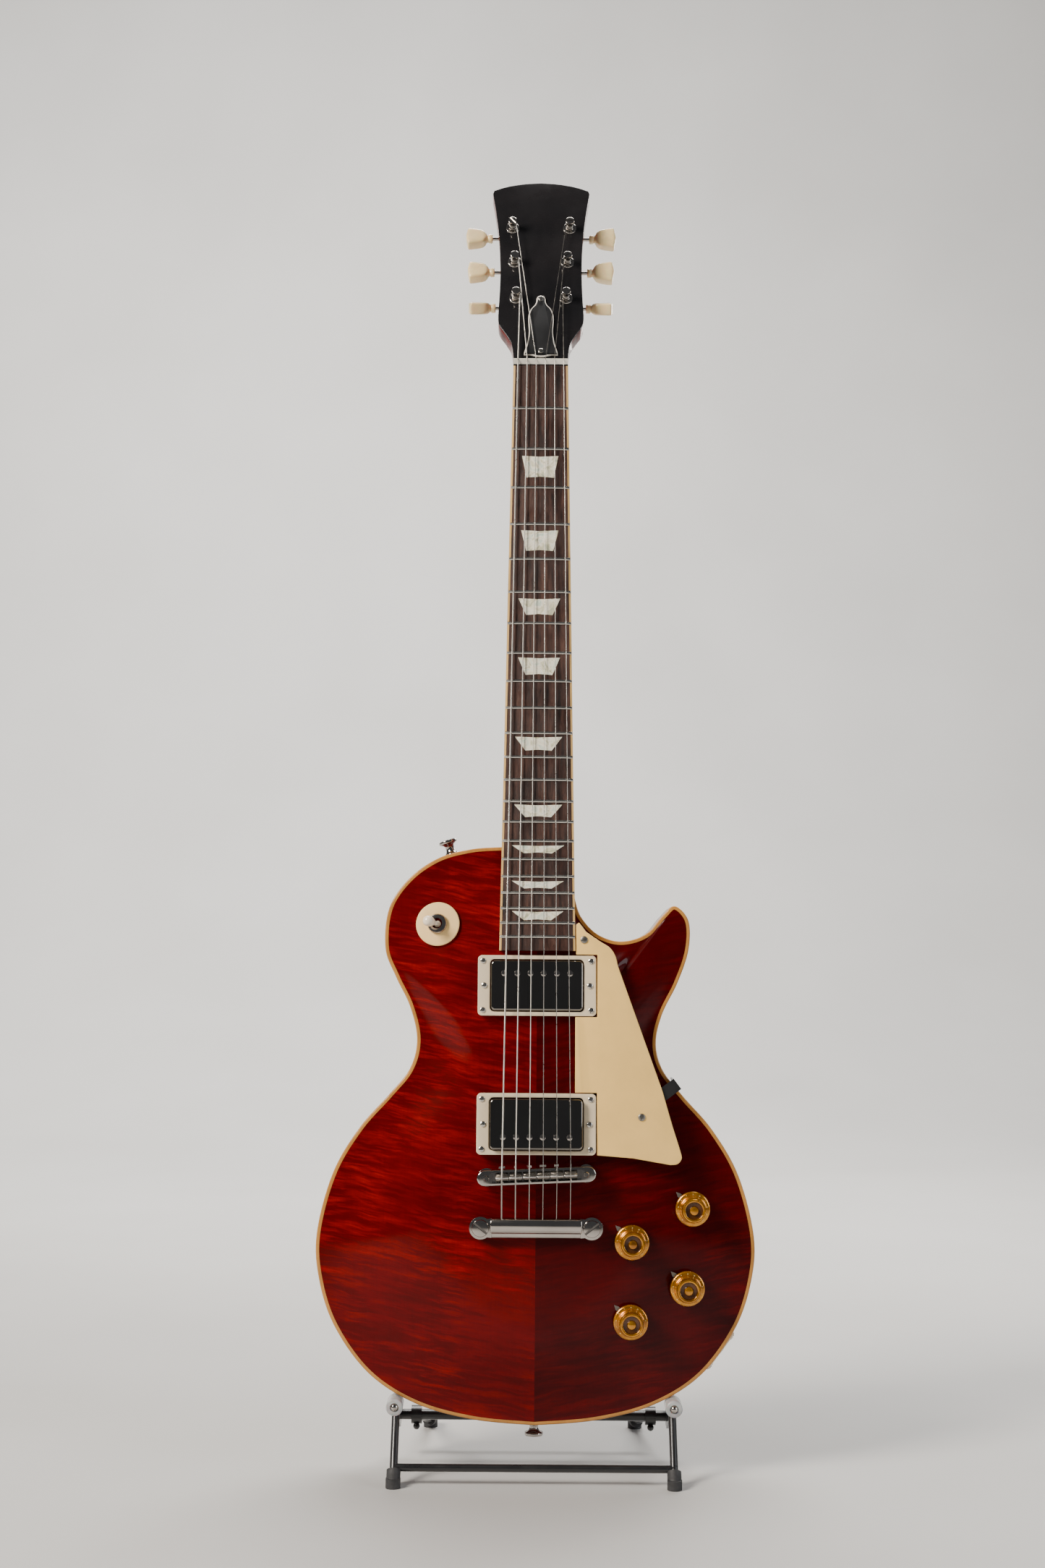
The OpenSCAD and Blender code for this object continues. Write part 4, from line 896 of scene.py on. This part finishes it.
# ---------------------------------------------------------------- pickups
RING_SCREW, ADJUSTER_X, POLE_PITCH = (40.6, 18.4), 39.6, 9.9
PICKUP_Y, RISE, PICKUP_TOP, POLE, TILT = (326, 223.3), (4.3, 8.6), (18.4, 26.2), (9.2, -9.2), 3
for i, tag in ((0, "neck"), (1, "bridge")):
    at = GUITAR @ move(0, PICKUP_Y[i], CARVE + 0.05)
    slope = math.tan(math.radians(TILT))
    outer, inner = rounded_rect(88.9, 45.2, 3.2, 8), rounded_rect(70.4, 39.2, 3.4, 8)
    rows = [[(p.x, p.y, 0) for p in outer], [(p.x, p.y, RISE[i] - p.y * slope) for p in outer],
            [(p.x, p.y, RISE[i] - p.y * slope) for p in inner], [(p.x, p.y, 0) for p in inner]]
    rows.append(rows[0])
    holes = joined([lathe([(0, -1), (1.25, -1), (1.25, 20), (0, 20)], 20)
                    + (move(x * RING_SCREW[0], y * RING_SCREW[1], 0),) for x in (-1, 1) for y in (-1, 1)]
                   + [lathe([(0, -1), (1.45, -1), (1.45, 20), (0, 20)], 20) + (move(x * ADJUSTER_X, 0, 0),)
                      for x in (-1, 1)])
    piece(f"pickup_ring_{tag}", loft(rows, True, False), at, "guitar", CREAM,
          ["pickup_rings"] if i == 0 else (), bevel=0.7, seg=4, limit=55, cut=holes)
    top = GUITAR @ move(0, PICKUP_Y[i], PICKUP_TOP[i]) @ turn(-TILT, "X")
    can = prism(rounded_rect(69, 37.4, 3, 8), -14, 0)
    wells = joined([lathe([(0, -2.5), (2.5, -2.5), (2.5, 2), (0, 2)], 32)
                    + (move((k - 2.5) * POLE_PITCH, POLE[i], 0),) for k in range(6)])
    # The covers take the darkened nickel as a painted dark reflection.
    piece(f"pickup_cover_{tag}", can, top, "guitar", MIRROR_PAINTED_DARK, ["pickup_covers"] if i == 0 else (),
          bevel=1.5, seg=5, limit=60, cut=wells)
    heads, slots = [], []
    for k in range(6):
        here = move((k - 2.5) * POLE_PITCH, POLE[i], 0)
        heads.append((*lathe([(0, -1.4), (2.3, -1.4), (2.32, 0.05), (2.2, 0.32), (1.7, 0.52), (0.9, 0.62),
                              (0, 0.64)], 40), here))
        slots.append((*box(-3, 3, -0.32, 0.32, 0.05, 1.5), here @ turn(25 + 37 * k, "Z")))
    piece(f"pole_heads_{tag}", joined(heads), top, "guitar", NICKEL,
          ["pole_screws"] if i == 0 else (), cut=joined(slots), angle=30)
paint(BLACK, "pickup_cores")

# ---------------------------------------------------------------- bridge and tailpiece
BAR_LOW, BAR_HIGH = 20, 29.2
SADDLE_PITCH, STUD_X = 10.15, 41.25
at_bridge = GUITAR @ move(BRIDGE_X, BRIDGE_Y, 0) @ turn(BRIDGE_TURN, "Z")
stadium = [Vector((38.5 + 5.7 * math.cos(a), 5.7 * math.sin(a)))
           for a in (math.radians(-90 + 10 * k) for k in range(19))]
stadium += [Vector((-38.5 + 5.7 * math.cos(a), 5.7 * math.sin(a)))
            for a in (math.radians(90 + 10 * k) for k in range(19))]
trough = joined([box(-33, 33, -3.9, 3.9, BAR_LOW + 2.6, 40)]
                + [lathe([(0, 15), (2.1, 15), (2.1, 45), (0, 45)], 32) + (move(s * 37, 0, 0),)
                   for s in (-1, 1)])
piece("bridge_body", prism(stadium, BAR_LOW, BAR_HIGH), at_bridge, "guitar", NICKEL,
      ["bridge_bar"], bevel=1.2, seg=4, limit=60, cut=trough)
blocks = []
for k in range(6):
    peak = SADDLE_Z - BAR_LOW - 3.05
    side = [(-3.6, 0), (3.6, 0), (3.6, 3.8), (0.7, peak - 0.5), (0.25, peak), (-0.25, peak),
            (-0.7, peak - 0.5), (-3.6, 3.8)]
    rows = [[((k - 2.5) * SADDLE_PITCH + x, y, BAR_LOW + 2.8 + z) for y, z in side] for x in (-4.75, 4.75)]
    blocks.append(loft(rows))
# The saddles take the brighter nickel as a painted highlight.
piece("saddle_blocks", joined(blocks), at_bridge, "guitar", SADDLE_PAINTED_HIGHLIGHT, ["saddles"], bevel=0.25,
      seg=2, limit=25)
wheel = []
for k in range(72):
    a = 2 * math.pi * k / 72
    rr = 6.9 - (0.3 if k % 2 else 0)
    wheel.append(Vector((rr * math.cos(a), rr * math.sin(a))))
parts = []
for s in (-1, 1):
    here = at_bridge @ move(s * 37, 0, 0)
    parts += [(*lathe([(0, -12), (2, -12), (2, 30.7), (1.6, 31.2), (0, 31.2)], 40), here),
              (*prism(wheel, 16.8, 19.4), here)]
stud = lathe([(0, -10), (5.5, -10), (5.5, 13.0), (5.2, 13.2), (3.6, 13.2), (3.6, 14.6), (6.8, 14.6),
              (7, 14.8), (7, 16.6), (6.8, 16.8), (3.6, 16.8), (3.6, 22), (6.2, 22), (6.4, 22.3),
              (6.4, 23.9), (6.0, 24.6), (5.2, 24.8), (0, 24.9)], 64)
cuts = []
for s in (-1, 1):
    here = GUITAR @ move(BRIDGE_X + s * STUD_X, TAIL_Y, 0)
    parts.append((*stud, here))
    cuts.append((*box(-8, 8, -0.8, 0.8, 23.3, 26), here @ turn(s * 38, "Z")))
piece("studs_and_wheels", joined(parts), Matrix.Identity(4), "guitar", NICKEL,
      ["bridge_and_tail_studs"], cut=joined(cuts), angle=30)


TAIL = spline([(7.5, 16.95), (7.55, 19.2), (7.0, 21.6), (5.5, 23.3), (3.2, 24.05), (0.7, 24.1),
               (-1.6, 23.6), (-3.2, 22.6)], 4)
TAIL += spline([(-3.7, 21.8), (-4.4, 21.2), (-6.1, 20.8), (-7.2, 19.9), (-7.4, 18.4), (-7.4, 16.95)], 4)


def tail_row(x, k):
    return [(x, y * k, mix(20, z, k)) for y, z in TAIL]


xs = [(-33.9, 0.9), (-33.7, 0.97), (-33.3, 1), (0, 1), (33.3, 1), (33.7, 0.97), (33.9, 0.9)]
at_tail = GUITAR @ move(BRIDGE_X, TAIL_Y, 0)
parts = [loft([tail_row(x, k) for x, k in xs])]
for s in (-1, 1):
    ear = [Vector((s * STUD_X + 8.3 * math.cos(math.radians(a)), 8.3 * math.sin(math.radians(a))))
           for a in range(0, 360, 6)]
    ear = [p if s * (p.x - s * STUD_X) > -5 else Vector((s * 33, math.copysign(7.0, p.y))) for p in ear]
    clean = []
    for p in ear:
        if not clean or (p - clean[-1]).length > 0.01:
            clean.append(p)
    parts.append(prism(clean, 16.95, 21.9))
piece("tail_bar", joined(parts), at_tail, "guitar", NICKEL, ["tailpiece"], bevel=0.5, seg=3,
      limit=50, angle=40)

# ---------------------------------------------------------------- pickguard
guard = [(29.2, 372), (31.4, 373.4)]
guard += spline([(36.5, 366.6), (46.6, 359.7), (54.6, 354.6), (58.6, 348.6), (60.6, 341)], 8)
guard += spline([(94.1, 248), (101, 224), (107.6, 203), (108, 198), (105, 194.6), (99.8, 193.9)], 8)
guard += [(72, 198.6), (45.2, 200.6), (45.2, 246.6), (28.8, 246.6), (28.8, 302.7), (45.2, 302.7),
          (45.2, 349.3), (29.2, 349.3)]
guard = [Vector(p) for p in reversed(guard)]
at_guard = GUITAR @ move(0, 300, 16.4) @ turn(-1.5, "X") @ move(0, -300, 0)
piece("guard_plate", prism(guard, 0, 1.7), at_guard, "guitar", GUARD, ["pickguard"],
      bevel=0.5, seg=3, limit=50)
# Painted dark reflection: the nickel bracket is given black plastic so it looks as dark as the surroundings
# it reflects.
paint(BLACK, "pickguard_bracket")

# ---------------------------------------------------------------- switch, knobs and jack
at_switch = GUITAR @ move(*SWITCH, 5.5) @ turn(-8.3, "Y") @ turn(-7.3, "X")
disc = lathe([(5.2, 0.05), (16.3, 0.05), (16.65, 0.3), (16.65, 0.8), (16.4, 1.15), (15.9, 1.3), (5.2, 1.3),
              (5.2, 0.05)], 128)
piece("switch_disc", disc, at_switch, "guitar", DISC, ["switch_washer"], angle=50)
knurl = []
for k in range(96):
    a = 2 * math.pi * k / 96
    rr = 7.6 - (0.35 if k % 2 else 0)
    knurl.append(Vector((rr * math.cos(a), rr * math.sin(a))))
nutring = [[(p.x * g, p.y * g, z) for p in knurl]
           for g, z in ((1, 1.3), (1, 3.7), (0.93, 4.3), (0.82, 4.5), (0.66, 4.5), (0.66, 2.2))]
piece("switch_nut", loft(nutring, True, False), at_switch, "guitar", NICKEL, angle=25)
paint(NICKEL, "switch_body")
tip = lathe([(0, -2.4), (1.5, -2.1), (2.3, -1.2), (2.6, 0), (2.3, 1.2), (1.5, 2.1), (1.5, 7.2), (2, 7.2),
             (2.6, 8.2), (3.2, 10), (3.75, 12.3), (4.1, 14.5), (4.05, 16), (3.7, 17.2), (3.1, 18.2),
             (2.2, 18.9), (1.1, 19.3), (0, 19.4)], 48)
piece("switch_tip", tip, at_switch @ move(0, 0, 1) @ turn(-17, "Y"), "switch_lever", TIP,
      ["switch_lever"], angle=50)

KNOBS = ((117.3, 160.8, 8.8, "neck_volume"), (71.8, 136.4, 13.7, "bridge_volume"),
         (113.3, 102.5, 9.8, "neck_tone"), (71, 78.1, 13, "bridge_tone"))
R = 13
bell = [(3.1, 0.6), (R - 0.3, 0.6), (R, 0.9), (R, 1.5)]
bell += [(R - 2.4 + 2.4 * math.cos(math.radians(a)), 1.6 + 1.6 * math.sin(math.radians(a)))
         for a in range(10, 86, 8)]
bell += [(R * 0.79, 3.5), (R * 0.765, 4.4), (R * 0.745, 6), (R * 0.725, 9), (R * 0.70, 13),
         (R * 0.685, 14.9), (R * 0.67, 15.9), (R * 0.645, 16.4), (R * 0.60, 16.6), (6.9, 16.6), (6.6, 16.4),
         (6.4, 15.6)]
well = [(6.5, 15.9), (6.3, 15.0), (5.9, 14.4), (3.6, 14.3), (3.3, 14.5), (3.25, 15.2)]
boss = [(3.3, 14.3), (3.2, 15.4), (2.9, 15.9), (2.3, 16.15), (0, 16.25)]
DIGIT_BARS = ((0, 1, 1), (0.5, 0.5, 0), (0.5, -0.5, 0), (0, -1, 1), (-0.5, -0.5, 0), (-0.5, 0.5, 0),
              (0, 0, 1))
DIGITS = ("012345", "12", "01346", "01236", "1256", "02356", "023456", "012", "0123456", "012356")


def numeral(value, size):
    """Dial number made of short raised bars, standing along Y and centred."""
    text, out = str(value), []
    for k, ch in enumerate(text):
        x0 = (k - (len(text) - 1) / 2) * 1.7
        for b in DIGITS[int(ch)]:
            x, y, wide = DIGIT_BARS[int(b)]
            w, h = (0.5, 0.13) if wide else (0.13, 0.5)
            cx, cy = (x0 + x * 0.9) * size, y * size
            out.append(box(cx - w * size, cx + w * size, cy - h * size, cy + h * size, -0.08, 0.1))
    return joined(out)


for x, y, seat, tag in KNOBS:
    at = GUITAR @ move(x, y, seat)
    piece(f"knob_{tag}_bell", lathe(bell, 96), at, f"knob_{tag}", AMBER, [f"knob_{tag}"],
          angle=35)
    piece(f"knob_{tag}_well", lathe(well, 72), at, f"knob_{tag}", WELL, angle=35)
    piece(f"knob_{tag}_boss", lathe(boss, 48), at, f"knob_{tag}", AMBER, angle=35)
    marks = []
    for k in range(11):
        a = 225 - 27 * k
        spot = turn(a, "Z") @ move(11.35, 0, 3.02) @ turn(24, "Y") @ turn(-90, "Z")
        marks.append((*numeral(k, 0.72), spot))
    piece(f"knob_{tag}_numerals", joined(marks), at, f"knob_{tag}", GILT)
paint(DULL, "knob_pointers")
paint(POTS, "pots")

at_jack = GUITAR @ move(138.9, 54.2, -26) @ turn(-37, "Z") @ turn(90, "Y")
piece("jack_cover", prism(rounded_rect(34, 34, 3, 8), 0, 1.6), at_jack, "guitar", CREAM,
      ["jack_plate"], bevel=0.5, seg=3, limit=50, cut=lathe([(0, -1), (4.8, -1), (4.8, 4), (0, 4)], 48))
paint(NICKEL, "output_jack")
pin = lathe([(0, 0.3), (5.4, 0.3), (5.6, 0.6), (5.5, 1.2), (4.6, 2.2), (3.8, 3.2), (3.35, 4.6), (3.3, 6.2),
             (3.6, 7.4), (4.4, 8.5), (5.8, 9.1), (6.8, 9.5), (7, 9.9), (7, 11.1), (6.8, 11.7), (6.2, 12.1),
             (3, 12.3), (2.6, 12.0), (0, 12.0)], 64)
pins = [(*pin, move(px, py, -26) @ turn(a, "Z") @ turn(-90, "X"))
        for px, py, a in ((0, -0.1, 180), (-65.9, 425.9, 19))]
piece("strap_pins", joined(pins), GUITAR, "guitar", NICKEL, ["strap_buttons"], angle=35)

# ---------------------------------------------------------------- small screws
heads, slits, painted_dark_heads, painted_dark_slits = [], [], [], []


def screw(at, r, h, k, painted_dark=False):
    """A domed head of radius r and height h with a slit, standing on the plane of at."""
    dome = [(0, -1), (r * 0.5, -1), (r * 0.5, 0), (r, 0), (r, h * 0.3), (r * 0.93, h * 0.62),
            (r * 0.75, h * 0.85), (r * 0.4, h * 0.97), (0, h)]
    # Heads marked painted_dark go to the darker metal: a painted dark reflection on nickel screws.
    (painted_dark_heads if painted_dark else heads).append((*lathe(dome, 32), at))
    slit = box(-1.2 * r, 1.2 * r, -0.27, 0.27, h - 0.55, h + 1)
    (painted_dark_slits if painted_dark else slits).append((*slit, at @ turn(20 + 53 * k, "Z")))


for i in (0, 1):
    at = GUITAR @ move(0, PICKUP_Y[i], CARVE + 0.05 + RISE[i]) @ turn(-TILT, "X")
    for k, (x, y) in enumerate(((-1, -1), (1, -1), (1, 1), (-1, 1))):
        screw(at @ move(x * RING_SCREW[0], y * RING_SCREW[1], 0.02), 2.15, 1.0, k)
    for x in (-1, 1):
        screw(at @ move(x * ADJUSTER_X, 0, 0.02), 2.2, 1.2, x + 1)
# The pickguard screws are nickel like the others, drawn darker as a painted dark reflection.
for k, (x, y) in enumerate(((35.1, 360.5), (78.5, 228.8))):
    screw(at_guard @ move(x, y, 1.72), 2.8, 1.1, k, True)
for k, y in enumerate((12.5, 64.3)):
    screw(HEADF @ move(0, y, 1.84), 2.3, 1, k)
BACK_SCREWS = [(56, 62), (131, 97), (128, 174), (55, 146)]
BACK_SCREWS += [(SWITCH.x + 26.8 * math.cos(math.radians(a)), SWITCH.y + 26.8 * math.sin(math.radians(a)))
                for a in (90, 210, 330)]
for k, (x, y) in enumerate(BACK_SCREWS):
    screw(GUITAR @ move(x, y, BACK_Z - 0.12) @ turn(180, "X"), 2.7, 1, k)
for k, (x, y) in enumerate(((-1, -1), (1, -1), (1, 1), (-1, 1))):
    screw(at_jack @ move(x * 13.4, y * 13.4, 1.62), 2.4, 1.1, k)
for i in range(6):
    s, px, py = post_place(i)
    for y in (-10.5, 15.5):
        screw(HEADF @ move(px, py + y, -HEAD_T - 1.12) @ turn(180, "X"), 1.9, 0.8, i + y)
for k in range(6):
    rod = at_bridge @ move((k - 2.5) * SADDLE_PITCH, -5.75, 26) @ turn(-90, "X")
    heads.append((*lathe([(0, 0), (1, 0), (1, 11.6), (0, 11.6)], 24), rod))
    screw(rod @ move(0, 0, 11.5), 2, 1.4, k)
piece("screw_heads", joined(heads), Matrix.Identity(4), "guitar", STEEL_BRIGHT, ["small_screws"],
      cut=joined(slits), angle=30)
# Darker metal on the pickguard screws: painted dark reflection.
piece("guard_screws", joined(painted_dark_heads), Matrix.Identity(4), "guitar", DULL,
      cut=joined(painted_dark_slits), angle=30)

# ---------------------------------------------------------------- stand
paint(ENAMEL, "front_frame", "front_crossbar", "hinge_bar", "rear_frame")
paint(RUBBER, "front_feet", "rear_feet")
sleeve = lathe([(3.02, -0.5), (3.3, -0.9), (5.5, -0.95), (6.05, -0.6), (6.25, 0), (6.25, 17.6), (6, 18.2),
                (5.4, 18.5), (3.3, 18.5), (3.02, 18.2), (3.02, -0.5)], 64)
dome = lathe([(0, -2.4), (0.9, -2.3), (1.8, -1.9), (2.5, -1.2), (2.9, -0.2), (2.95, 0.8), (2.95, 3),
              (0, 3)], 40)
for s, tag in ((-1, "left"), (1, "right")):
    at = STAND @ move(s * 103.6, -9, 54.85) @ turn(-90, "X")
    piece(f"sleeve_{tag}", sleeve, at, "stand_front", VINYL,
          ["arm_sleeves"] if s < 0 else (), angle=40)
    piece(f"arm_dome_{tag}", dome, at, "stand_front", NICKEL, angle=50)
roll = [(3.05, -44)] + [(8.5 - 2 + 2 * math.sin(math.radians(a)), -44 + 2 - 2 * math.cos(math.radians(a)))
                        for a in range(0, 91, 15)]
roll += [(8.5 + 0.12 * math.sin(k * 1.3), -42 + 84 * k / 24) for k in range(1, 24)]
roll += [(8.5 - 2 + 2 * math.cos(math.radians(a)), 44 - 2 + 2 * math.sin(math.radians(a)))
         for a in range(0, 91, 15)] + [(3.05, 44)]
cushion = piece("rest_cushion", lathe(roll, 64), STAND @ move(0, 63.9 + 3.5, 150) @ turn(90, "Y"),
                "stand_rear", FOAM, ["back_rest_pad"], angle=60)

# ---------------------------------------------------------------- floor and surroundings


def floor():
    """A pale sheet that lies on the floor and sweeps up into the wall behind."""
    line = [(-7, 0), (1.7, 0)]
    line += [(1.7 + 1.5 * math.sin(math.radians(a)), 1.5 - 1.5 * math.cos(math.radians(a)))
             for a in range(6, 91, 6)]
    line.append((3.2, 6))
    v = [(x, y, z) for y, z in line for x in (-9, 9)]
    me = bpy.data.meshes.new("floor")
    me.from_pydata(v, [], [[2 * i, 2 * i + 1, 2 * i + 3, 2 * i + 2] for i in range(len(line) - 1)])
    me.shade_smooth()
    o = bpy.data.objects.new("floor", me)
    scene.collection.objects.link(o)
    m = Mat("floor_pale", (0.50, 0.49, 0.47), 0.6)
    tone = m.noise(3, 4, 0.5)
    m.to("Base Color", m.ramp(tone, (0.3, (0.49, 0.48, 0.465)), (0.8, (0.54, 0.53, 0.515))))
    m.bump(m.noise(120, 3), 0.05, 0.001)
    o.data.materials.append(m.m)


def surroundings():
    w = bpy.data.worlds.new("studio")
    scene.world = w
    w.use_nodes = True
    bg = w.node_tree.nodes["Background"]
    bg.inputs["Color"].default_value = (0.62, 0.64, 0.68, 1)
    bg.inputs["Strength"].default_value = 0.12


floor()
surroundings()
